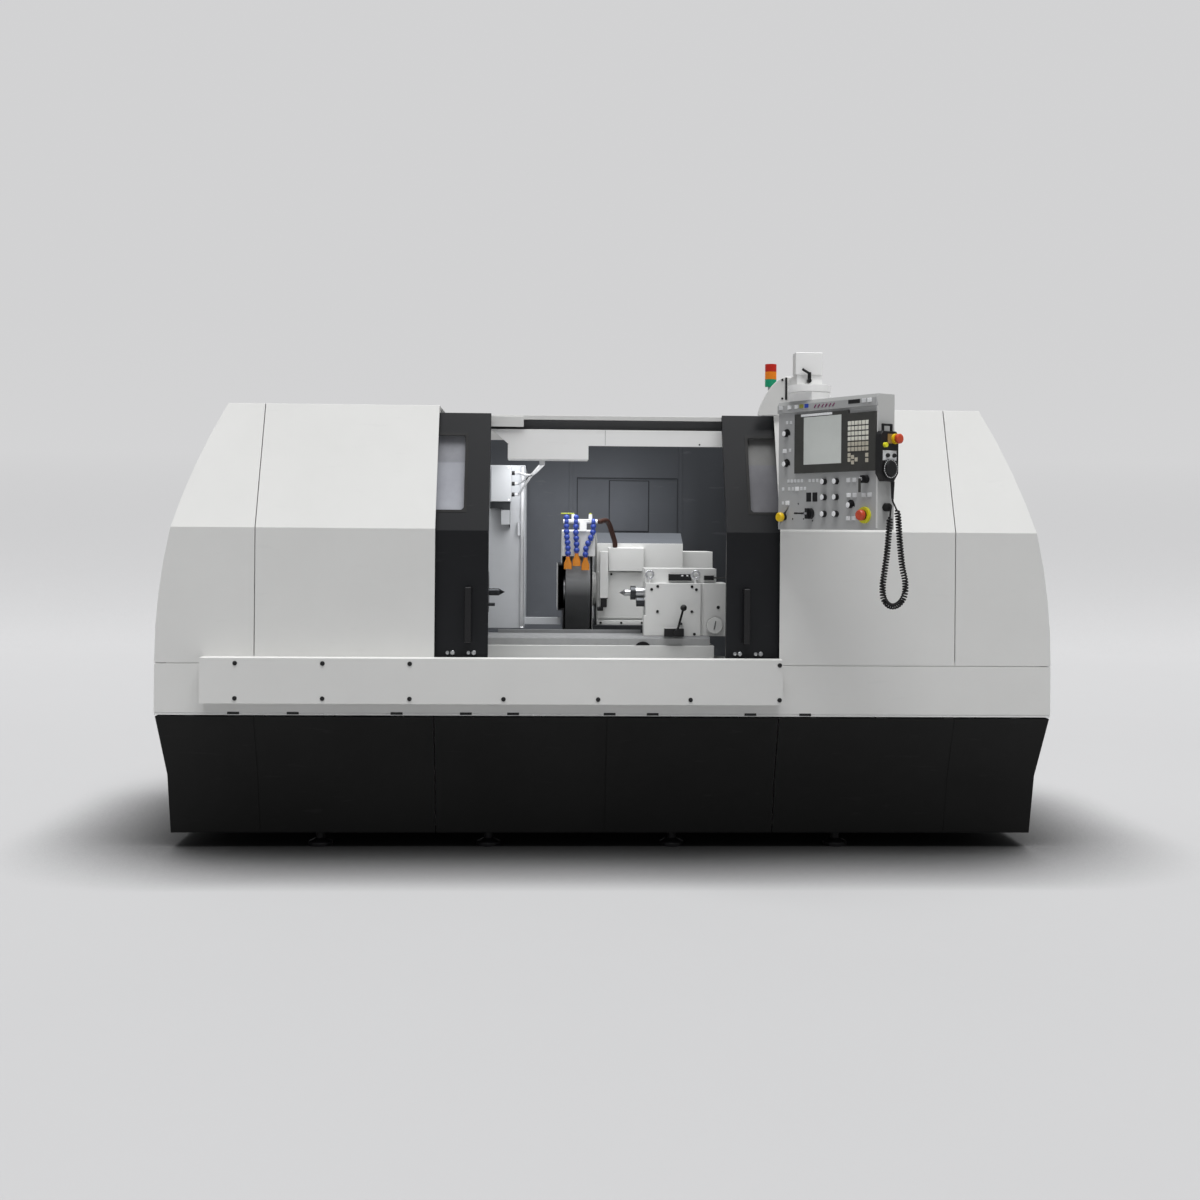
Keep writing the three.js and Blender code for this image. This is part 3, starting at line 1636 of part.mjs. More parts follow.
// The dark operating unit: bezel with the screen's recess and the rows of keys.
function pendantBezel() {
  const back = pendantFace - seat;
  const front = back - bezelProud;
  const plate = prismY(
    [
      [bezelLeft, bezelBottom], [bezelRight, bezelBottom], [bezelRight, bezelTop - bezelNotchDrop],
      [bezelNotch, bezelTop - bezelNotchDrop], [bezelNotch, bezelTop], [bezelLeft, bezelTop],
    ],
    front,
    back,
  );
  const recess = block(
    screenLeft - screenClearance, screenRight + screenClearance, front - lap,
    front + screenThick + seat, screenBottom - screenClearance, screenTop + screenClearance,
  );
  const key = (column, row) => {
    const x = keyLeft + column * keyPitchX;
    const z = keyTop - row * keyPitchZ;
    return block(x, x + keyWidth, front - keyProud, front + lap, z - keyHeight, z);
  };
  const keys = cursorKeyShares.map(([column, row]) => key(column, row));
  for (let row = 0; row < keyRows; row += 1) {
    for (let column = 0; column < keyColumns; column += 1) keys.push(key(column, row));
  }
  return joined(plate.subtract(recess), ...keys);
}

function pendantScreen() {
  const front = pendantFace - seat - bezelProud;
  return block(screenLeft, screenRight, front, front + screenThick, screenBottom, screenTop);
}

// A mushroom push button on its stem, which slides into the pendant's face.
function mushroom(x, z, radius) {
  const profile = [
    [0, -stopReach], [radius * capFaceShare, -stopReach], [radius, -stopReach + radius * capEdgeShare],
    [radius, -stopReach + stopCapThick], [stopStem, -stopReach + stopCapThick],
    [stopStem, stemInside], [0, stemInside],
  ];
  return turned(profile, 14, axisY, [x, pendantFace, z]);
}

// A pointer knob: a round skirt and a narrow grip across it.
function pointerKnob(x, z, radius, proud) {
  const y = pendantFace - seat;
  return joined(
    disc(radius, -proud / 2, 0, 14, axisY, [x, y, z]),
    block(x - radius * gripShare, x + radius * gripShare, y - proud, y - lap, z - radius, z + radius),
  );
}

// In the hand unit's outlines X is the pendant's side, and what stands proud does so along +X.
const handFace = pendantRight + handsetStand + handsetDepth;

function handsetBody() {
  const [x0, x1] = [pendantRight + handsetStand, handFace];
  const [footIn, headIn] = [handsetFootRound, handsetHeadRound];
  const outline = [
    [handsetLeft + footIn, handsetBottom], [handsetRight - footIn, handsetBottom],
    [handsetRight, handsetBottom + handsetFootRise], [handsetRight, handsetTop - headIn],
    [handsetRight - headIn, handsetTop], [handsetLeft + headIn, handsetTop],
    [handsetLeft, handsetTop - headIn], [handsetLeft, handsetBottom + handsetFootRise],
  ];
  const middle = (handsetLeft + handsetRight) / 2;
  const hook = prismX(
    [
      [middle - hookWidth / 2, handsetTop - lap], [middle - hookWidth / 2, handsetTop + hookRise],
      [middle + hookWidth / 2, handsetTop + hookRise], [middle + hookWidth / 2, handsetTop - lap],
    ],
    (x0 + x1 - hookDepth) / 2,
    (x0 + x1 + hookDepth) / 2,
    [[
      [middle - hookWidth / 2 + hookBar, handsetTop],
      [middle + hookWidth / 2 - hookBar, handsetTop],
      [middle + hookWidth / 2 - hookBar, handsetTop + hookRise - hookBar],
      [middle - hookWidth / 2 + hookBar, handsetTop + hookRise - hookBar],
    ]],
  );
  const plate = block(
    handFace - lap, handFace + handPlateProud, handsetLeft + headIn, handsetRight - headIn,
    handPlateBottom, handPlateTop,
  );
  const knob = (y) =>
    disc(handKnobRadius, 0, handKnobProud, 8, axisX, [
      handFace, y, (handPlateBottom + handPlateTop) / 2,
    ]);
  const relief = turned(
    [
      [0, 0], [reliefEndRadius, 0], [reliefTopRadius, handsetBottom - reliefEnd + lap],
      [0, handsetBottom - reliefEnd + lap],
    ],
    8, axisZ, [handFace - handsetDepth / 2, reliefY, reliefEnd],
  );
  const stopHole = disc(handStopStem + stemClearance, -stemInside - pushTravel, lap, 14, axisX, [
    handFace, handStopY, handStopZ,
  ]);
  return joined(
    prismX(outline, x0, x1),
    hook,
    plate,
    knob(middle - handKnobSpread),
    knob(middle + handKnobSpread),
    relief,
    disc(handButtonRadius, -lap, handKnobProud, 10, axisX, [handFace, handButtonY, handButtonZ]),
  ).subtract(stopHole);
}

const handsetDial = () =>
  disc(handDialRadius, seat, handDialThick, 20, axisX, [
    handFace, (handsetLeft + handsetRight) / 2, handDialZ,
  ]);

function handsetStop() {
  const profile = [
    [0, -stemInside], [handStopStem, -stemInside],
    [handStopStem, handStopReach - handStopNeck],
    [handStopRadius, handStopReach - handStopNeck],
    [handStopRadius, handStopReach - handStopEdge],
    [handStopFace, handStopReach], [0, handStopReach],
  ];
  return turned(profile, 14, axisX, [handFace, handStopY, handStopZ]);
}

const cordSocket = () =>
  disc(socketRadius, seat, socketLength, 12, axisX, [pendantRight, socketY, socketZ]);

// The curly cord: a helix wound round the route, with a straight lead at each end.
function curlyCord() {
  const start = new THREE.Vector3(pendantRight + socketLength + seat, socketY, socketZ);
  const end = new THREE.Vector3(handFace - handsetDepth / 2, reliefY, reliefEnd - seat);
  const route = curve([
    start.toArray(),
    [start.x + cordLead, socketY, socketZ],
    ...cordOutShares.map((share, i) => [
      pendantRight + share * cordOut,
      cordAlongShares[i] * cordSpread,
      socketZ - cordRise - cordDownShares[i] * cordDrop,
    ]),
    [end.x, reliefY, end.z - cordLead],
    end.toArray(),
  ]);
  const count = curlCount * curlSteps;
  const out = new THREE.Vector3(1, 0, 0);
  const ramp = (t) => Math.min(1, Math.max(0, (Math.min(t, 1 - t) - leadShare) / rampShare));
  const points = [];
  for (let i = 0; i <= count; i += 1) {
    const t = i / count;
    const middle = route.getPointAt(t);
    const tangent = route.getTangentAt(t);
    const side = new THREE.Vector3().crossVectors(tangent, out).normalize();
    const angle = (2 * Math.PI * i) / curlSteps;
    const reach = curlRadius * ramp(t);
    middle.addScaledVector(out, reach * Math.cos(angle));
    middle.addScaledVector(side, reach * Math.sin(angle));
    points.push(middle);
  }
  console.log("curly cord: least gap to itself", leastGap(points).toFixed(2), "mm");
  return swept(points, () => cordRadius, cordSides);
}

// The least clear distance between stretches of the cord more than three thicknesses apart.
function leastGap(points) {
  const far = 6 * cordRadius;
  const along = [0];
  for (let i = 1; i < points.length; i += 1) {
    along.push(along[i - 1] + points[i].distanceTo(points[i - 1]));
  }
  let least = Infinity;
  for (let i = 0; i < points.length; i += 1) {
    for (let j = i + 1; j < points.length; j += 1) {
      if (along[j] - along[i] > far) least = Math.min(least, points[i].distanceTo(points[j]));
    }
  }
  return least - 2 * cordRadius;
}

const machine = new THREE.Group();

place(machine, "bed", bed(), castGrey);
const skirtSeam = openingHalf;
place(machine, "skirt_left", skirt(-skirtHalf, -skirtSeam - seamGap / 2), black);
place(machine, "skirt_centre", skirt(-skirtSeam + seamGap / 2, skirtSeam - seamGap / 2), black);
place(machine, "skirt_right", skirt(skirtSeam + seamGap / 2, skirtHalf), black);
place(machine, "lower_band", lowerBand(), white);
place(machine, "front_apron", frontApron(), white);
place(machine, "left_end_cover", endCover(-1), white);
place(machine, "right_end_cover", endCover(1), white);
place(machine, "left_front_cover", frontCover(-1), white);
place(machine, "right_front_cover", frontCover(1), white);
place(machine, "rear_cover", rearCover(), white);
place(machine, "electrical_cabinet", electricalCabinet(), white);
place(machine, "roof_beam", roofBeam(), white);
place(machine, "valance", valance(), white);
place(machine, "back_wall", backWall(), wallGrey);
place(machine, "left_wall", leftWall(), lightGrey);
place(machine, "junction_box", junctionBox(), lightGrey);
for (const [side, word] of [[-1, "left"], [1, "right"]]) {
  place(machine, `${word}_door`, door(side), doorBlack);
  place(machine, `${word}_door_window`, doorWindow(side), glass);
  place(machine, `${word}_door_handle`, doorHandle(side), black);
}
place(machine, "table_lower", tableLower(), castGrey);
place(machine, "table_upper", tableUpper(), steel);
place(machine, "workhead", workhead(), castGrey);
place(machine, "workhead_spindle", workheadSpindle(), steel);
place(machine, "tailstock", tailstock(), castGrey);
place(machine, "tailstock_quill", tailstockQuill(), steel);
place(machine, "tailstock_lever", tailstockLever(), black);
place(machine, "tailstock_dial", tailstockDial(), steel);
place(machine, "wheelhead_slide", wheelheadSlide(), darkSteel);
place(machine, "wheelhead", wheelhead(), castGrey);
place(machine, "grinding_wheel", grindingWheel(), wheelGrit);
place(machine, "wheel_guard", wheelGuard(), castGrey);
place(machine, "gauge_head", gaugeHead(), castGrey);
place(machine, "coolant_manifold", coolantManifold(), lightGrey);
for (const i of [0, 1]) place(machine, `coolant_valve_lever_${i + 1}`, valveLever(i), lime);
for (const i of [0, 1, 2]) place(machine, `coolant_hose_${i + 1}`, coolantHose(i), blue);
place(machine, "coolant_supply_hose", supplyHose(), rubber);
signalTower(machine);
place(machine, "pendant_arm", pendantArm(), white);
place(machine, "pendant_clamp_lever", clampLever(), black);

const pendant = new THREE.Group();
pendant.position.set(swivelX, swivelY, 0);
pendant.rotation.z = THREE.MathUtils.degToRad(pendantTurn);
machine.add(pendant);
place(pendant, "pendant_box", pendantBox(), pendantGrey);
place(pendant, "pendant_bezel", pendantBezel(), darkSteel);
place(pendant, "pendant_screen", pendantScreen(), screenGrey);
place(pendant, "emergency_stop", mushroom(stopX, stopZ, stopCap), red);
place(pendant, "yellow_button", mushroom(yellowX, yellowZ, yellowCap), yellow);
place(pendant, "mode_switch", pointerKnob(modeX, modeZ, modeRadius, modeProud), black);
place(pendant, "power_switch", pointerKnob(powerX, powerZ, powerRadius, powerProud), black);
place(pendant, "handset_body", handsetBody(), black);
place(pendant, "handset_dial", handsetDial(), black);
place(pendant, "handset_stop", handsetStop(), red);
place(pendant, "cord_socket", cordSocket(), rubber);
place(pendant, "curly_cord", curlyCord(), rubber);

// The origin goes to the floor under the middle of the machine, the cord and its plug left out.
machine.updateMatrixWorld(true);
const extent = new THREE.Box3();
machine.traverse((piece) => {
  const onCord = piece.name === "curly_cord" || piece.name === "cord_socket";
  if (piece.isMesh && !onCord) extent.expandByObject(piece, true);
});
const middle = extent.getCenter(new THREE.Vector3());
machine.position.set(-middle.x, -middle.y, -extent.min.z);
machine.updateMatrixWorld(true);

export default machine;
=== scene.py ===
"""Looks for a cylindrical grinding machine with sliding doors and a swivelling pendant.

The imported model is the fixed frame. Each sub-assembly below finishes its own pieces: it rounds
their edges, gives them their materials and adds the small hardware that goes on them.
"""

import json
import logging
import math
from dataclasses import KW_ONLY, dataclass
from enum import Enum
from typing import Callable, Sequence

import bpy
from mathutils import Matrix, Vector

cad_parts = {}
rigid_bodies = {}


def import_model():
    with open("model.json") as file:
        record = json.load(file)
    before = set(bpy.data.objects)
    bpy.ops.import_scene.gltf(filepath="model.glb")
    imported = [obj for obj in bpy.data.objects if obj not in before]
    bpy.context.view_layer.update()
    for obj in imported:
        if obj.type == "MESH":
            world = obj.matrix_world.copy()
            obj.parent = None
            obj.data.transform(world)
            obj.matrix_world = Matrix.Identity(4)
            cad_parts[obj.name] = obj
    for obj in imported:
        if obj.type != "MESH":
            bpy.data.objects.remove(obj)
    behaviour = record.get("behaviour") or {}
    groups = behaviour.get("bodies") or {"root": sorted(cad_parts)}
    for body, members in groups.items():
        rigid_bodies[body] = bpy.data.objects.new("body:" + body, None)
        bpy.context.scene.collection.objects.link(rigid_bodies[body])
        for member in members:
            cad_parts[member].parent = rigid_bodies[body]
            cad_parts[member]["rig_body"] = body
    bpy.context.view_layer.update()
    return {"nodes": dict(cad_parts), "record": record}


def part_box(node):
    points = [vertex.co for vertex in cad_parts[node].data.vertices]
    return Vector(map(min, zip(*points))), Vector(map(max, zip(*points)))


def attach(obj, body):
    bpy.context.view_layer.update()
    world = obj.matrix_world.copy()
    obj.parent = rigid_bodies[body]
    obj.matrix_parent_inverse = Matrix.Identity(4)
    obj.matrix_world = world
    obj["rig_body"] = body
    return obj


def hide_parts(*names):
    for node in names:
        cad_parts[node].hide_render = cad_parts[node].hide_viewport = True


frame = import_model()
LOG = logging.getLogger("grinder")
MM = 0.001
FAR = math.inf
FRONT_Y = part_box("lower_band")[0].y

Point = tuple[float, float, float]
Colour = tuple[float, float, float]
Span = tuple[float, float]
FaceTest = Callable[[Vector, Vector], bool]
Socket = bpy.types.NodeSocket
Object = bpy.types.Object
Fed = Socket | Sequence[float] | float


class Axis(Enum):
    """A direction that a turned piece stands along."""

    Y = (math.pi / 2, 0.0, 0.0)
    Z = (0.0, 0.0, 0.0)


def at(x: float, y: float, z: float) -> Vector:
    """A place to the right of the machine's middle, behind its front and above the floor."""
    return Vector((x * MM, y * MM + FRONT_Y, z * MM))


PENDANT_PLACE = Matrix.Translation(at(755, -150, 0)) @ Matrix.Rotation(
    math.radians(-57.7), 4, "Z"
)
PENDANT_FACE = -46.0
PENDANT_SIDE = 411.0
HAND_FACE = PENDANT_SIDE + 31.0
MACHINE_PLACE = Matrix.Translation(at(0, 0, 0))


def machine_seat(x: float, y: float, z: float) -> Matrix:
    """The place of something that stands out to the front at a point of the machine."""
    return Matrix.Translation(at(x, y, z))


def pendant_seat(x: float, y: float, z: float) -> Matrix:
    """The place of something that stands out of the pendant's face at a point of it."""
    return PENDANT_PLACE @ Matrix.Translation(Vector((x, y, z)) * MM)


def side_seat(y: float, z: float, out: float = 0.0) -> Matrix:
    """The place of something that stands out of the hand unit's face, with a distance off it."""
    place = Matrix.Translation(Vector((HAND_FACE + out, y, z)) * MM)
    return PENDANT_PLACE @ place @ Matrix.Rotation(math.pi / 2, 4, "Z")


def on_pendant(x: float, y: float, z: float) -> Vector:
    """A place on the pendant: along its face, into it and up, as a point of the row frame."""
    return PENDANT_PLACE @ Vector((x * MM, y * MM, z * MM))


def from_machine(point: Vector) -> Vector:
    """A point of the row frame as millimetres from the machine's own middle, front and floor."""
    return Vector((point.x, point.y - FRONT_Y, point.z)) / MM


@dataclass(frozen=True)
class Zone:
    """Limits in millimetres of the machine, for the middles of faces, and for how they face."""

    x: Span = (-FAR, FAR)
    y: Span = (-FAR, FAR)
    z: Span = (-FAR, FAR)
    up: Span = (-FAR, FAR)
    back: Span = (-FAR, FAR)
    disc: tuple[float, float, float] = (0.0, 0.0, FAR)

    def measure(self, point: Vector) -> Vector:
        """A point of the row frame in the millimetres that the limits are in."""
        return from_machine(point)

    def __call__(self, middle: Vector, normal: Vector) -> bool:
        """Tells whether a face is picked.

        Args:
            middle: The face's middle in the row frame.
            normal: The direction that it faces.

        Returns:
            True where it lies within every limit and within the disc's x, z and reach.
        """
        point = self.measure(middle)
        x, z, reach = self.disc
        pairs = zip((*point, normal.z, normal.y), (self.x, self.y, self.z, self.up, self.back))
        return math.hypot(point.x - x, point.z - z) < reach and all(
            low < value < high for value, (low, high) in pairs
        )


@dataclass(frozen=True)
class PendantZone(Zone):
    """The same, in millimetres along the pendant's face, into it and up."""

    def measure(self, point: Vector) -> Vector:
        """A point of the row frame in the pendant's millimetres."""
        return (PENDANT_PLACE.inverted() @ point) / MM


def cap(x: float, z: float, wide: float = 10, high: float = 9, out: float = 0.4) -> PendantZone:
    """The zone of a cap on the pendant: its middle, its half sizes and how far it stands out."""
    return PendantZone((x - wide, x + wide), (-FAR, PENDANT_FACE - out), (z - high, z + high))


class Graph:
    """A node tree with short calls for adding nodes and joining them."""

    def __init__(self, tree: bpy.types.NodeTree) -> None:
        """Keeps the tree that nodes are added to."""
        self.tree = tree

    def add(self, kind: str, settings: dict | None = None, **sockets: Fed) -> bpy.types.Node:
        """Adds a node.

        Args:
            kind: The node's type name.
            settings: Its own properties, such as an operation.
            **sockets: Its inputs by name, with _ for a space, as values or as sockets to join.

        Returns:
            The new node.
        """
        node = self.tree.nodes.new(kind)
        for name, value in (settings or {}).items():
            setattr(node, name, value)
        self.put(node, **sockets)
        return node

    def put(self, node: bpy.types.Node, **sockets: Fed) -> None:
        """Feeds a node's inputs by name, with _ for a space."""
        for name, value in sockets.items():
            self.feed(node.inputs[name.replace("_", " ")], value)

    def feed(self, socket: Socket, value: Fed) -> None:
        """Joins a socket to another one, or sets its value.

        Args:
            socket: The input.
            value: The output that feeds it, or a number, a vector or a colour.
        """
        if isinstance(value, Socket):
            self.tree.links.new(value, socket)
        elif socket.type == "RGBA" and len(value) == 3:
            socket.default_value = (*value, 1.0)
        else:
            socket.default_value = value

    def mix(self, share: Socket, first: Socket | Colour, second: Socket | Colour) -> Socket:
        """Mixes two colours.

        Args:
            share: How much of the second one there is.
            first: The colour where the share is 0.
            second: The colour where it is 1.

        Returns:
            The mixed colour's socket.
        """
        node = self.add("ShaderNodeMix", {"data_type": "RGBA"})
        for index, value in ((0, share), (6, first), (7, second)):
            self.feed(node.inputs[index], value)
        return node.outputs[2]

    def span(self, value: Socket, start: Span, end: Span) -> Socket:
        """Maps a value from one range to another and keeps it inside.

        Args:
            value: The socket to map.
            start: The range that it has.
            end: The range that it gets.

        Returns:
            The mapped value's socket.
        """
        node = self.add("ShaderNodeMapRange", {"clamp": True}, Value=value)
        self.put(node, From_Min=start[0], From_Max=start[1], To_Min=end[0], To_Max=end[1])
        return node.outputs["Result"]

    def part(self, vector: Socket, name: str) -> Socket:
        """One component of a vector, by its letter."""
        return self.add("ShaderNodeSeparateXYZ", Vector=vector).outputs[name]

    def maths(self, operation: str, *values: Socket | float) -> Socket:
        """Works out an operation on one or two values.

        Args:
            operation: Its name.
            *values: The sockets or numbers that it works on.

        Returns:
            The result's socket.
        """
        node = self.add("ShaderNodeMath", {"operation": operation})
        for socket, value in zip(node.inputs, values):
            self.feed(socket, value)
        return node.outputs[0]


@dataclass(frozen=True)
class Noise:
    """An effect made of one noise, which may be turned, stretched and cut to a range."""

    detail: float
    roughness: float = 0.5
    turn: Point = (0.0, 0.0, 0.0)
    stretch: Point | None = None
    cut: Span | None = None

    def build(self, graph: Graph, vector: Socket, scale: Socket) -> Socket:
        """Builds the noise.

        Args:
            graph: The effect's node tree.
            vector: The place that it is read at.
            scale: How fine it is.

        Returns:
            The socket of its result.
        """
        if self.stretch:
            mapping = graph.add("ShaderNodeMapping", Vector=vector)
            graph.put(mapping, Rotation=self.turn, Scale=self.stretch)
            vector = mapping.outputs["Vector"]
        noise = graph.add("ShaderNodeTexNoise", Vector=vector, Scale=scale)
        graph.put(noise, Detail=self.detail, Roughness=self.roughness)
        result = noise.outputs["Fac"]
        return graph.span(result, self.cut, (0, 1)) if self.cut else result


@dataclass(frozen=True)
class Grains:
    """An effect of grains packed side by side, each with its own shade."""

    def build(self, graph: Graph, vector: Socket, scale: Socket) -> Socket:
        """Builds the grains from a vector and a scale, and returns their shade."""
        cells = graph.add("ShaderNodeTexVoronoi", Vector=vector, Scale=scale)
        return graph.add("ShaderNodeSeparateColor", Color=cells.outputs["Color"]).outputs["Red"]


class Effect(Enum):
    """An effect that several finishes share: its output, its first scale and what makes it."""

    PEEL = ("Height", 400.0, Noise(2.0))
    PATCHES = ("Mask", 2.0, Noise(5.0, 0.62, cut=(0.35, 0.7)))
    SCRATCHES = ("Mask", 8.0, Noise(3.0, 0.5, (0.4, 0.9, 0.3), (1.0, 14.0, 5.0), (0.66, 0.74)))
    GRAIN = ("Height", 900.0, Noise(4.0, stretch=(0.03, 1.0, 1.0)))
    SPECKLE = ("Value", 600.0, Grains())

    def group(self) -> bpy.types.NodeTree:
        """Makes the effect's node group, once.

        Returns:
            The group's node tree.
        """
        name = self.name.lower()
        if name in bpy.data.node_groups:
            return bpy.data.node_groups[name]
        output, scale, maker = self.value
        tree = bpy.data.node_groups.new(name, "ShaderNodeTree")
        tree.interface.new_socket("Vector", in_out="INPUT", socket_type="NodeSocketVector")
        scaled = tree.interface.new_socket("Scale", in_out="INPUT", socket_type="NodeSocketFloat")
        scaled.default_value = scale
        tree.interface.new_socket(output, in_out="OUTPUT", socket_type="NodeSocketFloat")
        graph = Graph(tree)
        source = graph.add("NodeGroupInput").outputs
        sink = graph.add("NodeGroupOutput")
        graph.feed(sink.inputs[output], maker.build(graph, source["Vector"], source["Scale"]))
        return tree


class Surface(Graph):
    """The nodes of one material, round its shader."""

    def __init__(self, name: str) -> None:
        """Makes the material and finds its shader and object coordinates.

        Args:
            name: The material's name.
        """
        self.material = bpy.data.materials.new(name)
        self.material.use_nodes = True
        super().__init__(self.material.node_tree)
        self.shader = self.tree.nodes["Principled BSDF"]
        self.place = self.add("ShaderNodeTexCoord").outputs["Object"]

    def set(self, **sockets: Fed) -> None:
        """Feeds the shader's inputs by name, with _ for a space."""
        self.put(self.shader, **sockets)

    def effect(self, effect: Effect, scale: float) -> Socket:
        """Places a shared effect.

        Args:
            effect: The effect.
            scale: How fine it is.

        Returns:
            The socket of its output.
        """
        node = self.add("ShaderNodeGroup", {"node_tree": effect.group()}, Vector=self.place)
        self.put(node, Scale=scale)
        return node.outputs[0]

    def relief(self, height: Socket, strength: float, depth: float) -> None:
        """Raises the surface by a height, in metres at full strength."""
        bump = self.add("ShaderNodeBump", Strength=strength, Distance=depth, Height=height)
        self.set(Normal=bump.outputs["Normal"])


MADE: dict[str, bpy.types.Material] = {}
ALL: Span = (0.0, 1.0)
NO_LIGHT: Colour = (0.0, 0.0, 0.0)
WORN: Colour = (0.45, 0.45, 0.45)


@dataclass(frozen=True)
class Finish:
    """What every finish has: a name, a colour, how rough it is and how much it shines."""

    name: str
    colour: Colour
    roughness: float = 0.5
    _: KW_ONLY
    shine: float = 0.5

    def darker(self, share: float) -> Colour:
        """The finish's colour at a share of its brightness."""
        return tuple(c * share for c in self.colour)

    def make(self) -> bpy.types.Material:
        """Makes the material, once.

        Returns:
            The material.
        """
        if self.name not in MADE:
            surface = Surface(self.name)
            surface.set(Roughness=self.roughness, Specular_IOR_Level=self.shine)
            surface.set(Base_Color=self.colour)
            self.fill(surface)
            MADE[self.name] = surface.material
        return MADE[self.name]

    def fill(self, on: Surface) -> None:
        """Builds the material's nodes on its surface."""
        raise NotImplementedError


@dataclass(frozen=True)
class Coat(Finish):
    """Sprayed or powder paint on metal, with patches of tone and faint marks."""

    peel_scale: float = 420.0
    peel: float = 0.12
    tone: float = 0.95
    marks: float = 0.06
    patch_scale: float = 1.6
    mark_scale: float = 7.0

    def fill(self, on: Surface) -> None:
        """Builds the paint's nodes.

        Args:
            on: The paint's surface.
        """
        patches = on.effect(Effect.PATCHES, self.patch_scale)
        marks = on.effect(Effect.SCRATCHES, self.mark_scale)
        colour = self.toned(on, on.mix(patches, self.colour, self.darker(self.tone)))
        on.set(Base_Color=on.mix(on.span(marks, ALL, (0, self.marks)), colour, WORN))
        rough = (self.roughness - 0.04, self.roughness + 0.06)
        on.set(Roughness=on.span(patches, ALL, rough))
        on.relief(on.effect(Effect.PEEL, self.peel_scale), self.peel, 4e-4)

    def toned(self, on: Surface, colour: Socket) -> Socket:
        """The coat's colour as it is at a place: the same all over."""
        return colour


@dataclass(frozen=True)
class ShadedCoat(Coat):
    """Paint in the work zone, with painted shade darkening it towards one side and towards the
    roof.
    """

    across: Span = (0.12, 0.5)
    upwards: Span = (1.4, 1.66)
    upper_shade: float = 0.8
    left: float = 0.36

    def toned(self, on: Surface, colour: Socket) -> Socket:
        """The paint's colour with painted shade, darker to the right and upwards.

        Args:
            on: The paint's surface.
            colour: Its colour without the painted shade.

        Returns:
            The shaded colour's socket.
        """
        aside = on.span(on.part(on.place, "X"), self.across, ALL)
        above = on.span(on.part(on.place, "Z"), self.upwards, (0, self.upper_shade))
        shaded = self.darker(self.left)
        return on.mix(above, on.mix(aside, colour, shaded), shaded)


@dataclass(frozen=True)
class GroundSteel(Finish):
    """Ground, turned or brushed metal."""

    metallic: float = 1.0
    grain_scale: float = 900.0
    patch_scale: float = 12.0
    tone: float = 0.86

    def fill(self, on: Surface) -> None:
        """Builds the metal's nodes.

        Args:
            on: The metal's surface.
        """
        grain = on.effect(Effect.GRAIN, self.grain_scale)
        patches = on.effect(Effect.PATCHES, self.patch_scale)
        rough = (self.roughness - 0.08, self.roughness + 0.12)
        on.set(Metallic=self.metallic, Roughness=on.span(grain, (0.3, 0.7), rough))
        on.set(Base_Color=on.mix(patches, self.colour, self.darker(self.tone)))
        on.relief(grain, 0.15, 2e-4)


@dataclass(frozen=True)
class Moulding(Finish):
    """Moulded plastic or rubber with a fine spark-eroded grain."""

    grain_scale: float = 1400.0
    depth: float = 0.2
    patch_scale: float = 18.0
    tone: float = 0.85

    def fill(self, on: Surface) -> None:
        """Builds the plastic's nodes.

        Args:
            on: The plastic's surface.
        """
        patches = on.effect(Effect.PATCHES, self.patch_scale)
        rough = (self.roughness - 0.05, self.roughness + 0.08)
        on.set(Roughness=on.span(patches, ALL, rough))
        on.set(Base_Color=on.mix(patches, self.colour, self.darker(self.tone)))
        on.relief(on.effect(Effect.PEEL, self.grain_scale), self.depth, 2e-4)


@dataclass(frozen=True)
class Abrasive(Finish):
    """Bonded abrasive grit, painted paler where it faces up, as a painted highlight for the light
    from above.
    """

    top_light: float = 0.95
    lit_facing: Span = (-0.1, 0.75)
    top_colour: Colour = (0.5, 0.51, 0.52)

    def fill(self, on: Surface) -> None:
        """Builds the grit's nodes.

        Args:
            on: The grit's surface.
        """
        cells = on.effect(Effect.SPECKLE, 900.0)
        patches = on.effect(Effect.PATCHES, 5.0)
        tone = on.mix(cells, self.darker(0.7), self.colour)
        # Painted highlight: faces that turn up are mixed towards pale grey, as if lit from above.
        upward = on.part(on.add("ShaderNodeNewGeometry").outputs["Normal"], "Z")
        lit_top = on.span(upward, self.lit_facing, (0, self.top_light))
        grit = on.mix(patches, tone, self.darker(0.8))
        on.set(Base_Color=on.mix(lit_top, grit, self.top_colour))
        on.relief(cells, 0.5, 4e-4)


@dataclass(frozen=True)
class Pane(Finish):
    """A tinted safety pane with wiped streaks, its colour painted with the shade seen through it:
    another tone above where the rail lies behind it.
    """

    upper: Colour = (0.2, 0.2, 0.2)
    alpha: float = 0.82
    split: float = 1.535

    def fill(self, on: Surface) -> None:
        """Builds the pane's nodes.

        Args:
            on: The pane's surface.
        """
        streaks = on.effect(Effect.PATCHES, 4.0)
        edge = (self.split - 0.004, self.split + 0.004)
        # Painted shade: the pane's tone changes at the height of the rail behind it.
        tone = on.mix(on.span(on.part(on.place, "Z"), edge, ALL), self.colour, self.upper)
        wiped = on.span(streaks, ALL, (0, 0.3))
        alpha = on.span(streaks, ALL, (self.alpha - 0.04, self.alpha + 0.1))
        on.set(Base_Color=on.mix(wiped, tone, self.darker(1.5)), Alpha=alpha)
        on.set(Roughness=on.span(streaks, ALL, (0.08, 0.24)))


@dataclass(frozen=True)
class Lens(Finish):
    """A coloured lens with moulded ribs inside and a faint painted glow that stands in for the
    room's light in it.
    """

    glow: float = 0.15
    ribs: float = 1400.0

    def fill(self, on: Surface) -> None:
        """Builds the lens's nodes.

        Args:
            on: The lens's surface.
        """
        wave = on.maths("SINE", on.span(on.part(on.place, "X"), ALL, (0, self.ribs)))
        ribs = on.span(wave, (-1, 1), ALL)
        tone = on.mix(ribs, self.darker(0.75), self.colour)
        # Painted light: the lens glows a little through emission.
        on.set(Base_Color=tone, Emission_Color=tone, Emission_Strength=self.glow)
        on.relief(ribs, 0.3, 5e-4)


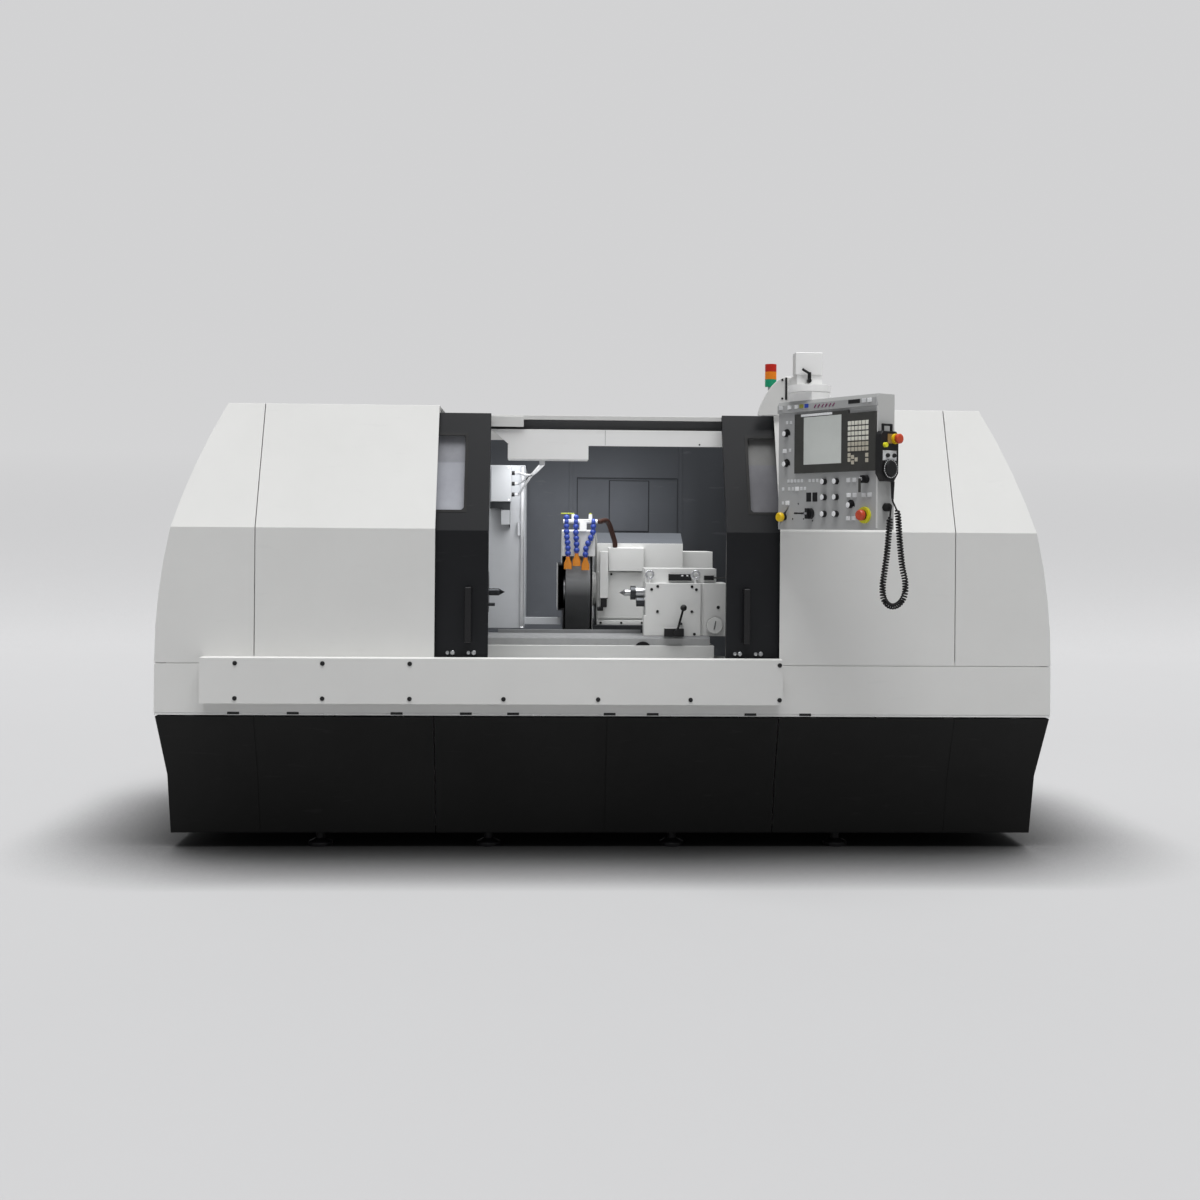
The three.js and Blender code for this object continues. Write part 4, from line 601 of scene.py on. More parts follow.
@dataclass(frozen=True)
class Screen(Finish):
    """A pale display behind glass, switched off."""

    glass: float = 0.6

    def fill(self, on: Surface) -> None:
        """Builds the display's nodes.

        Args:
            on: The display's surface.
        """
        cells = on.effect(Effect.SPECKLE, 2500.0)
        patches = on.effect(Effect.PATCHES, 6.0)
        tone = on.mix(cells, self.colour, self.darker(0.94))
        on.set(Coat_Weight=self.glass, Base_Color=on.mix(patches, tone, self.darker(0.9)))


@dataclass(frozen=True)
class Backdrop(Finish):
    """The studio's floor, with a painted contact shadow close to what stands on it, and lit
    evenly as it curves up.
    """

    lit: float = 0.63
    shadow_reach: float = 0.72
    depth: float = 3.2
    rise: Span = (0.02, 2.2)

    def fill(self, on: Surface) -> None:
        """Builds the floor's nodes.

        Args:
            on: The floor's surface.
        """
        patches = on.effect(Effect.PATCHES, 0.3)
        rise = on.span(on.part(on.place, "Z"), self.rise, ALL)
        # Painted shadow: ambient occlusion darkens the floor's colour near what stands on it.
        occlusion = on.add("ShaderNodeAmbientOcclusion", {"samples": 12}, Distance=self.shadow_reach)
        shade = on.maths("POWER", occlusion.outputs["AO"], self.depth)
        sprayed = on.mix(patches, self.colour, self.darker(0.985))
        floor = on.mix(shade, NO_LIGHT, sprayed)
        on.set(Base_Color=on.mix(rise, floor, NO_LIGHT), Emission_Strength=self.lit)
        on.set(Emission_Color=on.mix(rise, NO_LIGHT, (1.0, 1.0, 1.01)))
        on.relief(on.effect(Effect.PEEL, 60.0), 0.02, 1e-3)


WHITE = Coat("warm_white_coat", (0.7, 0.7, 0.685), 0.45, shine=0.3)
# A brighter copy of the warm white paint, as painted light for white parts that sit in shade or
# face away from the light.
LIT_WHITE = Coat("lit_white_coat", (0.93, 0.93, 0.92), 0.45, shine=0.3)
SKIRT = Coat(
    "skirt_black_coat", (0.0185, 0.0185, 0.0182), 0.55, marks=0.01, tone=0.8, shine=0.12
)
DOOR = Coat("door_black_coat", (0.0125, 0.0132, 0.015), 0.4, marks=0.02, tone=0.8, shine=0.2)
# The back wall's coat has painted shade: darker to the right and towards the roof.
WALL = ShadedCoat("back_wall_coat", (0.165, 0.176, 0.197), 0.5, tone=0.8, shine=0.2)
SEAM = Coat("seam_black_coat", (0.045, 0.048, 0.053), 0.6, marks=0.01, shine=0.1)
RAIL = Coat("rail_grey_coat", (0.17, 0.172, 0.175), 0.5, marks=0.03, shine=0.2)
PANEL = Coat("inner_panel_coat", (0.72, 0.74, 0.77), 0.4, tone=0.88, shine=0.3)
ENAMEL = Coat("casting_enamel", (0.74, 0.745, 0.735), 0.42, 260.0, 0.2, 0.93)
CROWN = Coat("head_top_coat", (0.11, 0.12, 0.135), 0.45, 260.0, 0.15, shine=0.3)
BOX_GREY = Coat("pendant_grey_coat", (0.37, 0.375, 0.37), 0.45, 700.0, 0.2, 0.93, shine=0.3)
# A lighter copy of the pendant grey for the box's side: painted light.
LIT_SIDE_GREY = Coat("pendant_lit_side_coat", (0.52, 0.525, 0.515), 0.45, 700.0, 0.2, 0.93, shine=0.3)
FACE_GREY = Coat("pendant_face_coat", (0.44, 0.445, 0.445), 0.42, 900.0, 0.1, 0.95, shine=0.3)
STEEL = GroundSteel("ground_steel", (0.56, 0.57, 0.58), 0.3)
BRIGHT = GroundSteel("bright_steel", (0.8, 0.81, 0.83), 0.16)
DARK_STEEL = GroundSteel("slideway_steel", (0.07, 0.073, 0.078), 0.4)
TABLE_STEEL = GroundSteel("table_steel", (0.5, 0.505, 0.51), 0.5, 0.4)
TABLE_TOP = GroundSteel("table_top_steel", (0.27, 0.275, 0.28), 0.7, 0.1, shine=0.15)
ALLOY = GroundSteel("drawn_alloy", (0.78, 0.79, 0.81), 0.35, 0.7)
BLACK = Moulding("moulded_black", (0.011, 0.011, 0.012), 0.4, depth=0.1, shine=0.35)
RUBBER = Moulding("moulded_rubber", (0.011, 0.011, 0.011), 0.55, depth=0.1, shine=0.25)
BEZEL = Moulding("bezel_plastic", (0.062, 0.062, 0.058), 0.5, depth=0.1, shine=0.2)
CREAM = Moulding("cream_key_plastic", (0.86, 0.85, 0.76), 0.45)
TAN = Moulding("tan_key_plastic", (0.6, 0.56, 0.46), 0.45)
CAP_WHITE = Moulding("white_cap_plastic", (0.95, 0.96, 0.97), 0.3)
CAP_GREY = Moulding("pale_cap_plastic", (0.72, 0.73, 0.74), 0.4)
RED = Moulding("stop_red_plastic", (0.6, 0.07, 0.025), 0.35)
YELLOW = Moulding("moulded_yellow", (0.85, 0.56, 0.01), 0.35)
LEMON = Moulding("lemon_ring_plastic", (0.75, 0.72, 0.02), 0.35)
BLUE = Moulding("hose_blue_plastic", (0.035, 0.075, 0.4), 0.3, depth=0.06)
BLUE_CAP = Moulding("blue_cap_plastic", (0.02, 0.06, 0.42), 0.35)
OLIVE = Moulding("olive_cap_plastic", (0.32, 0.32, 0.05), 0.35)
ORANGE = Moulding("nozzle_orange_plastic", (0.72, 0.25, 0.02), 0.4)
COLLAR = Moulding("stop_collar_plastic", (0.33, 0.2, 0.07), 0.4)
LIME = Moulding("lever_lime_plastic", (0.5, 0.56, 0.06), 0.4)
MAGENTA = Moulding("magenta_lamp_plastic", (0.22, 0.012, 0.12), 0.4)
HOSE_WHITE = Moulding("white_hose_plastic", (0.75, 0.76, 0.78), 0.35)
HOSE_BROWN = Moulding("hose_brown_rubber", (0.05, 0.02, 0.014), 0.5, shine=0.3)
GRIT = Abrasive("bonded_grit", (0.075, 0.077, 0.08), 0.85, shine=0.2)
# Lit and shaded copies of one glass, as painted light: the left pane paler and the right darker,
# for the room seen through each.
LIT_LEFT_PANE = Pane("left_door_pane", (0.41, 0.42, 0.46), 0.12, (0.31, 0.315, 0.34))
SHADED_RIGHT_PANE = Pane("right_door_pane", (0.2, 0.2, 0.215), 0.12, (0.21, 0.21, 0.2))
LENS_GREEN = Lens("green_lens", (0.01, 0.3, 0.15), 0.12)
LENS_AMBER = Lens("amber_lens", (0.8, 0.22, 0.01), 0.12)
LENS_RED = Lens("red_lens", (0.5, 0.02, 0.01), 0.12)
DISPLAY = Screen("display_glass", (0.7, 0.73, 0.7), 0.2)


class Bench:
    """The modelling operators, each working on one piece that alone is selected."""

    @staticmethod
    def add(name: str, data: bpy.types.ID) -> Object:
        """Puts new data in the scene as an object of that name.

        Args:
            name: The object's name.
            data: Its mesh, curve, light or camera.

        Returns:
            The object.
        """
        thing = bpy.data.objects.new(name, data)
        bpy.context.scene.collection.objects.link(thing)
        return thing

    @staticmethod
    def hold(piece: Object) -> None:
        """Leaves edit mode, selects a piece alone and makes it active.

        Args:
            piece: The piece.
        """
        Bench.leave()
        bpy.ops.object.select_all(action="DESELECT")
        piece.select_set(True)
        bpy.context.view_layer.objects.active = piece

    @staticmethod
    def leave() -> None:
        """Leaves edit mode, where a piece is in it."""
        if bpy.context.object and bpy.context.object.mode != "OBJECT":
            bpy.ops.object.mode_set(mode="OBJECT")

    @staticmethod
    def settle(piece: Object) -> Object:
        """Applies a piece's place, turn and size into its mesh.

        Args:
            piece: The piece.

        Returns:
            The same piece.
        """
        Bench.hold(piece)
        bpy.ops.object.transform_apply(location=True, rotation=True, scale=True)
        return piece

    @staticmethod
    def edit(piece: Object, pick: FaceTest | None = None) -> None:
        """Enters edit mode with some faces selected.

        Args:
            piece: The piece.
            pick: What picks the faces; without it they are all selected.
        """
        Bench.hold(piece)
        bpy.ops.object.mode_set(mode="EDIT")
        bpy.ops.mesh.select_mode(type="FACE")
        bpy.ops.mesh.select_all(action="SELECT" if pick is None else "DESELECT")
        if pick is not None:
            Bench.leave()
            for face in piece.data.polygons:
                face.select = pick(face.center, face.normal)
            bpy.ops.object.mode_set(mode="EDIT")

    @staticmethod
    def front(middle: Vector, normal: Vector) -> bool:
        """Picks the faces that face the front."""
        return normal.y < -0.9

    @staticmethod
    def modify(piece: Object, kind: str, **settings: object) -> None:
        """Adds a modifier to a piece and applies it.

        Args:
            piece: The piece.
            kind: The modifier's type name.
            **settings: Its own properties.
        """
        Bench.hold(piece)
        modifier = piece.modifiers.new("shaping", kind)
        for name, value in settings.items():
            setattr(modifier, name, value)
        bpy.ops.object.modifier_apply(modifier=modifier.name)

    @staticmethod
    def done(piece: Object, smooth: float = 30.0) -> Object:
        """Settles a piece and smooths it.

        Args:
            piece: The piece.
            smooth: The angle that is still smoothed, in degrees.

        Returns:
            The same piece.
        """
        Bench.settle(piece)
        bpy.ops.object.shade_smooth_by_angle(angle=math.radians(smooth))
        Bench.modify(piece, "WEIGHTED_NORMAL", keep_sharp=True)
        return piece

    @staticmethod
    def bevel(piece: Object, width: float, segments: int = 2, angle: float = 28.0) -> None:
        """Rounds a piece's edges.

        Args:
            piece: The piece.
            width: The rounding's width in millimetres.
            segments: How many steps it has.
            angle: The least angle of an edge that is rounded, in degrees.
        """
        Bench.modify(
            piece,
            "BEVEL",
            width=width * MM,
            segments=segments,
            limit_method="ANGLE",
            angle_limit=math.radians(angle),
            use_clamp_overlap=False,
        )

    @staticmethod
    def sink(band: float, depth: float) -> None:
        """Insets the selected faces by a band and moves them in, in millimetres."""
        bpy.ops.mesh.inset(thickness=band * MM)
        if depth:
            bpy.ops.transform.translate(value=(0, depth * MM, 0))

    @staticmethod
    def draw_out(x: float, y: float, z: float) -> None:
        """Extrudes the selected faces by a move in millimetres."""
        bpy.ops.mesh.extrude_region_move(
            TRANSFORM_OT_translate={"value": (x * MM, y * MM, z * MM)}
        )

    @staticmethod
    def ring(piece: Object, band: float, thick: Point) -> None:
        """Turns a flat piece into a ring.

        Args:
            piece: A piece of one face.
            band: The ring's width in millimetres.
            thick: The move that gives it its thickness.
        """
        Bench.edit(piece)
        Bench.sink(band, 0.0)
        bpy.ops.mesh.delete(type="FACE")
        bpy.ops.mesh.select_all(action="SELECT")
        Bench.draw_out(*thick)
        bpy.ops.mesh.select_all(action="SELECT")
        bpy.ops.mesh.normals_make_consistent(inside=False)
        Bench.leave()

    @staticmethod
    def bisect(piece: Object, place: Vector, normal: Vector) -> Object:
        """Cuts off what lies behind a plane, closes the cut and finishes the piece.

        Args:
            piece: The piece.
            place: A point of the plane, in metres.
            normal: The side that stays.

        Returns:
            The finished piece.
        """
        Bench.edit(piece)
        bpy.ops.mesh.bisect(plane_co=place, plane_no=normal, clear_inner=True, use_fill=True)
        return Bench.done(piece)

    @staticmethod
    def start(name: str, primitive: Callable, **settings: object) -> Object:
        """Adds a primitive with nothing else selected.

        Args:
            name: The new piece's name.
            primitive: The operator that adds it.
            **settings: The operator's own settings.

        Returns:
            The piece, settled.
        """
        bpy.ops.object.select_all(action="DESELECT")
        primitive(**settings)
        bpy.context.object.name = name
        return Bench.settle(bpy.context.object)

    @staticmethod
    def bar(
        name: str, radius: float, length: float, middle: Vector, axis: Axis, sides: int = 24
    ) -> Object:
        """Adds a round bar.

        Args:
            name: Its name.
            radius: Its radius in millimetres.
            length: Its length in millimetres.
            middle: Where its middle is, in metres.
            axis: The direction that it stands along.
            sides: How many sides it has.

        Returns:
            The bar.
        """
        return Bench.start(
            name,
            bpy.ops.mesh.primitive_cylinder_add,
            vertices=sides,
            radius=radius * MM,
            depth=length * MM,
            location=middle,
            rotation=axis.value,
        )

    @staticmethod
    def copies(piece: Object, places: Sequence[Vector]) -> list[Object]:
        """Copies a piece to each place and drops the first.

        Args:
            piece: The piece to repeat.
            places: How far each copy is moved, in metres.

        Returns:
            The copies, each with its own mesh.
        """
        made = []
        for place in places:
            twin = Bench.add(piece.name, piece.data.copy())
            twin.data.transform(Matrix.Translation(place))
            made.append(twin)
        bpy.data.objects.remove(piece)
        return made

    @staticmethod
    def joined(name: str, pieces: Sequence[Object]) -> Object:
        """Joins pieces into the first of them and names it.

        Args:
            name: The joined piece's name.
            pieces: The pieces.

        Returns:
            The joined piece.
        """
        Bench.hold(pieces[0])
        for piece in pieces:
            piece.select_set(True)
        bpy.ops.object.join()
        pieces[0].name = name
        return pieces[0]


def wear(piece: Object, finish: Finish, body: str, slot: str) -> Object:
    """Gives a new piece its finish and its body.

    Args:
        piece: The finished piece.
        finish: What it is made of.
        body: The CAD body that it rides on.
        slot: The record's material slot; not used.

    Returns:
        The same piece.
    """
    piece.data.materials.clear()
    piece.data.materials.append(finish.make())
    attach(piece, body)
    LOG.info("%s on %s", piece.name, body)
    return piece


def dress(
    node: str,
    finish: Finish,
    edge: float = 1.2,
    segments: int = 2,
    round_over: int = 0,
    crease: float = 28.0,
) -> Object:
    """Makes the shown copy of a CAD node: merged, flat faces cleaned, edges rounded.

    Args:
        node: The CAD node.
        finish: Its main finish.
        edge: The width of its rounded edges in millimetres, or zero for none.
        segments: How many steps the rounding has.
        round_over: Levels of subdivision, for soft round forms.
        crease: The least angle of an edge that is rounded, in degrees.

    Returns:
        The shown piece, which stands for the node.
    """
    source = frame["nodes"][node]
    piece = Bench.add(f"{node}_finished", source.data.copy())
    Bench.edit(piece)
    bpy.ops.mesh.remove_doubles(threshold=1e-5)
    if not round_over:
        bpy.ops.mesh.dissolve_limited(angle_limit=math.radians(0.4))
    Bench.leave()
    if edge:
        Bench.bevel(piece, edge, segments, crease)
    if round_over:
        Bench.modify(piece, "SUBSURF", levels=round_over, render_levels=round_over)
    Bench.done(piece)
    slots = {part["node"]: part["material_slot"] for part in frame["record"]["subparts"]}
    wear(piece, finish, source["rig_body"], slots[node])
    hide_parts(node)
    return piece


def paint(piece: Object, finish: Finish, *zones: Zone) -> None:
    """Gives another finish to some faces of a piece.

    Args:
        piece: The dressed piece.
        finish: The other finish.
        *zones: A face in any of them is painted.
    """
    piece.data.materials.append(finish.make())
    index = len(piece.data.materials) - 1
    for face in piece.data.polygons:
        if any(zone(face.center, face.normal) for zone in zones):
            face.material_index = index


def fronts(piece: Object, zone: Zone) -> list[Vector]:
    """The middles, in millimetres, of a piece's larger faces to the front in a zone."""
    return [
        from_machine(face.center)
        for face in piece.data.polygons
        if Bench.front(face.center, face.normal)
        and face.area > 6e-5
        and zone(face.center, face.normal)
    ]


@dataclass(frozen=True)
class Fitting:
    """A small piece that stands out towards the front from its seat, in millimetres."""

    name: str
    _: KW_ONLY
    finish: Finish = BLACK
    body: str = "enclosure"
    slot: str = "black_plastic"
    place: Matrix = MACHINE_PLACE
    edge: float = 1.0
    sink: float = 0.0

    def form(self) -> Object:
        """Models the form about its seat, with its edges still sharp."""
        raise NotImplementedError

    def model(self) -> Object:
        """Models the piece: its form, its rounded edges and its place.

        Returns:
            The finished piece.
        """
        piece = self.form()
        Bench.bevel(piece, self.edge)
        piece.data.transform(self.place)
        return Bench.done(piece)

    def fit(self) -> Object:
        """Models the piece and gives it its finish and body."""
        return wear(self.model(), self.finish, self.body, self.slot)


@dataclass(frozen=True)
class Plate(Fitting):
    """A plate between its lowest and highest corners, its front face sunk where it says so."""

    low: Point
    high: Point
    rim: float = 0.18

    def form(self) -> Object:
        """Models the plate from a cube.

        Returns:
            The plate.
        """
        low, high = Vector(self.low) * MM, Vector(self.high) * MM
        middle = (low + high) / 2
        add = bpy.ops.mesh.primitive_cube_add
        piece = Bench.start(self.name, add, size=1.0, location=middle, scale=high - low)
        if self.sink:
            across, up = self.high[0] - self.low[0], self.high[2] - self.low[2]
            Bench.edit(piece, Bench.front)
            Bench.sink(min(across, up) * self.rim, self.sink)
        return piece


@dataclass(frozen=True)
class Boss(Fitting):
    """A round boss with an inset face, which goes in where it says so."""

    radius: float
    length: float
    rim: float = 0.3

    def form(self) -> Object:
        """Models the boss from a cylinder.

        Returns:
            The boss.
        """
        middle = Vector((0, -self.length * MM / 2, 0))
        piece = Bench.bar(self.name, self.radius, self.length, middle, Axis.Y)
        Bench.edit(piece, Bench.front)
        Bench.sink(self.radius * self.rim, self.sink)
        return piece


@dataclass(frozen=True)
class Ring(Fitting):
    """A flat ring."""

    outer: float
    inner: float
    thick: float

    def form(self) -> Object:
        """Models the ring from a disc.

        Returns:
            The ring.
        """
        piece = Bench.start(
            self.name,
            bpy.ops.mesh.primitive_circle_add,
            vertices=40,
            radius=self.outer * MM,
            fill_type="NGON",
            rotation=Axis.Y.value,
        )
        Bench.ring(piece, self.outer - self.inner, (0, -self.thick, 0))
        return piece


@dataclass(frozen=True)
class SocketScrews(Fitting):
    """Cap screws with a hexagon socket, each by the middle of its head's seat."""

    places: Sequence[Point]
    radius: float = 6.0
    head: float = 3.0
    rim: float = 0.2
    socket: float = 0.25
    depth: float = 0.6

    def model(self) -> Object:
        """Models one head, copies it to each place and joins the copies.

        Returns:
            The joined screws.
        """
        head = Bench.bar("head", self.radius, self.head, Vector(), Axis.Y, 12)
        Bench.edit(head, Bench.front)
        Bench.sink(self.radius * self.rim, 0.0)
        Bench.sink(self.radius * self.socket, self.head * self.depth)
        Bench.leave()
        moved = [at(x, y - self.head / 2, z) for x, y, z in self.places]
        return Bench.done(Bench.joined(self.name, Bench.copies(head, moved)))


@dataclass
class CameraRig:
    """The photograph's viewpoint."""

    place: Point = (-257.0, -5828.0, 1268.0)
    lens: float = 45.0
    turn: float = 2.2
    roll: float = 0.45
    rise: float = -0.0579

    def build(self) -> None:
        """Adds the camera and makes it the scene's own."""
        data = bpy.data.cameras.new("viewpoint")
        data.sensor_width = 36.0
        data.lens = self.lens
        data.shift_y = self.rise
        data.clip_end = 200.0
        camera = Bench.add("viewpoint", data)
        turned = Matrix.Rotation(math.radians(-self.turn), 4, "Z")
        level = turned @ Matrix.Rotation(math.pi / 2, 4, "X")
        tilt = Matrix.Rotation(math.radians(self.roll), 4, "Z")
        camera.matrix_world = Matrix.Translation(at(*self.place)) @ level @ tilt
        bpy.context.scene.camera = camera


@dataclass
class Studio:
    """A pale floor that curves up behind, under a broad soft light."""

    floor_grey: float = 0.425
    ambient: float = 0.24
    surround: float = 0.64
    key: float = 4.1
    spread: float = 50.0
    lamp_power: float = 2.0
    lamp_size: float = 0.6
    half_width: float = 22.0
    before: float = 16.0
    behind: float = 9.0
    curve: float = 4.0
    height: float = 14.0

    def build(self) -> None:
        """Builds the floor, the world's light and the lamps."""
        self.floor()
        self.sky()
        down = Vector((-0.07, 0.2, -1.0))
        self.light("overhead", "SUN", down, energy=self.key, angle=math.radians(self.spread))
        place, aim = at(-120, 380, 1540), at(-40, 800, 950)
        lamp = self.light(
            "work_lamp", "AREA", aim - place, energy=self.lamp_power, size=self.lamp_size
        )
        lamp.location = place

    def floor(self) -> None:
        """Models the floor and its curve up behind."""
        steps = [a * math.pi / 20 for a in range(1, 11)]
        profile = [(-self.before, 0.0), (self.behind, 0.0)]
        profile += [
            (self.behind + self.curve * math.sin(a), self.curve - self.curve * math.cos(a))
            for a in steps
        ]
        profile.append((self.behind + self.curve, self.height))
        wide = self.half_width
        mesh = bpy.data.meshes.new("studio_floor")
        corners = [(x, y, z) for y, z in profile for x in (-wide, wide)]
        faces = [(2 * i, 2 * i + 1, 2 * i + 3, 2 * i + 2) for i in range(len(profile) - 1)]
        mesh.from_pydata(corners, [], faces)
        floor = Bench.add("studio_floor", mesh)
        Bench.hold(floor)
        bpy.ops.object.shade_smooth()
        grey = self.floor_grey
        mesh.materials.append(Backdrop("studio_floor", (grey, grey, grey * 1.01), 0.9).make())

    def sky(self) -> None:
        """Sets the world's light, paler where the camera sees it."""
        bpy.context.scene.view_settings.view_transform = "Standard"
        world = bpy.data.worlds.new("studio")
        bpy.context.scene.world = world
        world.use_nodes = True
        graph = Graph(world.node_tree)
        seen = graph.add("ShaderNodeLightPath").outputs["Is Camera Ray"]
        strength = graph.span(seen, ALL, (self.ambient, self.surround))
        graph.put(world.node_tree.nodes["Background"], Color=(0.96, 0.97, 1.0), Strength=strength)

    @staticmethod
    def light(name: str, kind: str, aim: Vector, **settings: object) -> Object:
        """Adds a light.

        Args:
            name: Its name.
            kind: Its type name.
            aim: The direction that it shines in.
            **settings: Its own properties.

        Returns:
            The light's object.
        """
        data = bpy.data.lights.new(name, kind)
        for word, value in settings.items():
            setattr(data, word, value)
        lamp = Bench.add(name, data)
        lamp.rotation_euler = aim.to_track_quat("-Z", "Y").to_euler()
        return lamp


@dataclass
class Enclosure:
    """The covers, band, apron, skirt, bed and cabinet."""

    covers: tuple[tuple[str, Finish], ...] = (
        ("left_end_cover", WHITE),
        ("right_end_cover", WHITE),
        ("left_front_cover", WHITE),
        ("right_front_cover", WHITE),
        ("lower_band", WHITE),
        ("rear_cover", WHITE),
        # The valance takes the lit copy of the white: painted light under the roof's shade.
        ("valance", LIT_WHITE),
        ("skirt_left", SKIRT),
        ("skirt_centre", SKIRT),
        ("skirt_right", SKIRT),
    )
    fold: float = 9.0
    apron_heads: Zone = Zone(y=(-FAR, -75.6))
    bed_foot: Zone = Zone(z=(-FAR, 90))
    beam_rail: Zone = Zone(y=(266, FAR), z=(-FAR, 1716))
    flange_y: float = -75.0
    flange_radius: float = 8.8
    flange_height: float = 2.2
    cabinet_back: float = 11.0
    clip: Plate = Plate("clip", (-23, -1.5, 549), (23, 3, 559), edge=0.8, sink=0.6)
    clip_places: tuple[float, ...] = (-1442, -1214, -815, -548, -365, 10, 178, 560, 775)
    fittings: tuple[Fitting, ...] = (
        Plate(
            "valance_joint",
            (-4.8, 273.9, 1614),
            (-3.2, 276, 1676),
            finish=BOX_GREY,
            slot="white_paint",
            edge=0.3,
        ),
        SocketScrews(
            "valance_screw", [(381, 275.0, 1621)], 3.5, 1.2, finish=SEAM, slot="white_paint"
        ),
    )

    def build(self) -> None:
        """Dresses every cover and adds the screws, the valance's joint and the clips."""
        for node, coat in self.covers:
            dress(node, coat, crease=self.fold)
        apron = dress("front_apron", WHITE, 1.0)
        paint(apron, BLACK, self.apron_heads)
        heads = fronts(apron, self.apron_heads)
        flanges = [(head.x, self.flange_y, head.z) for head in heads]
        size = self.flange_radius, self.flange_height
        SocketScrews("apron_screw_flanges", flanges, *size).fit()
        paint(dress("bed", ENAMEL), BLACK, self.bed_foot)
        paint(dress("roof_beam", WHITE), RAIL, self.beam_rail)
        for fitting in self.fittings:
            fitting.fit()
        cabinet = dress("electrical_cabinet", WHITE, 2.0)
        back = from_machine(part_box("electrical_cabinet")[1]).y
        paint(cabinet, BLACK, Zone(y=(back - self.cabinet_back, FAR)))
        steps = [Vector((x * MM, 0, 0)) for x in self.clip_places]
        row = Bench.joined("skirt_clips", Bench.copies(self.clip.model(), steps))
        wear(Bench.done(row), BLACK, "enclosure", "skirt_black")


@dataclass
class SlidingDoors:
    """Both doors, their panes, gaskets and handles."""

    window: tuple[float, float, float, float] = (561.0, 1083.0, 1341.0, 1648.0)
    fold_z: float = 1270.0
    lean: Span = (205.0, 495.0)
    skin: float = 31.0
    overlap: float = 7.0
    band: float = 12.0
    thick: float = 3.0
    rollers: Zone = Zone(y=(-FAR, 31.4), z=(-FAR, 800), back=(-FAR, 0.2))
    bolt_y: float = 31.0
    bolt_aside: float = 20.0
    bolt_radius: float = 7.0
    bolt_height: float = 3.5
    edge: float = 1.6
    fold: float = 12.0
    handle_edge: float = 3.0

    def build(self) -> None:
        """Dresses the doors and handles and fits the rollers' bolts and the window gaskets."""
        for side, word, pane in ((-1, "left", LIT_LEFT_PANE), (1, "right", SHADED_RIGHT_PANE)):
            body = f"{word}_door_body"
            door = dress(f"{word}_door", DOOR, self.edge, crease=self.fold)
            paint(door, STEEL, self.rollers)
            spots = fronts(door, self.rollers)
            bolts = [(spot.x - self.bolt_aside, self.bolt_y, spot.z) for spot in spots]
            name = f"{word}_roller_bolts"
            size = self.bolt_radius, self.bolt_height
            SocketScrews(name, bolts, *size, finish=STEEL, body=body, slot="steel").fit()
            dress(f"{word}_door_window", pane, 0.0)
            dress(f"{word}_door_handle", BLACK, self.handle_edge, 3)
            gasket = self.gasket(side, f"{word}_window_gasket")
            wear(gasket, RUBBER, body, "black_rubber")

    def gasket(self, side: int, name: str) -> Object:
        """Models the rubber frame round a door's window.

        Args:
            side: -1 for the left door, 1 for the right.
            name: The gasket's name.

        Returns:
            The gasket.
        """
        low_x, high_x, low_z, high_z = self.window
        run, rise = self.lean
        length = math.hypot(run, rise)
        out = Vector((0.0, -rise / length, run / length))
        up = Vector((0.0, run / length, rise / length))
        start = Vector((0.0, 0.0, self.fold_z)) - out * self.skin
        centre = start + up * (((low_z + high_z) / 2 - start.z) / up.z)
        centre.x = side * (low_x + high_x) / 2
        wide = high_x - low_x + 2 * self.overlap
        high = (high_z - low_z) * length / rise + 2 * self.overlap
        gasket = Bench.start(name, bpy.ops.mesh.primitive_plane_add, size=1.0)
        gasket.scale = (wide * MM, high * MM, 1.0)
        Bench.ring(Bench.settle(gasket), self.band, (0, 0, -self.thick))
        turn = Matrix.Rotation(math.atan2(rise, run), 4, "X")
        gasket.data.transform(Matrix.Translation(at(*centre)) @ turn)
        Bench.bevel(gasket, 1.0)
        return Bench.done(gasket)


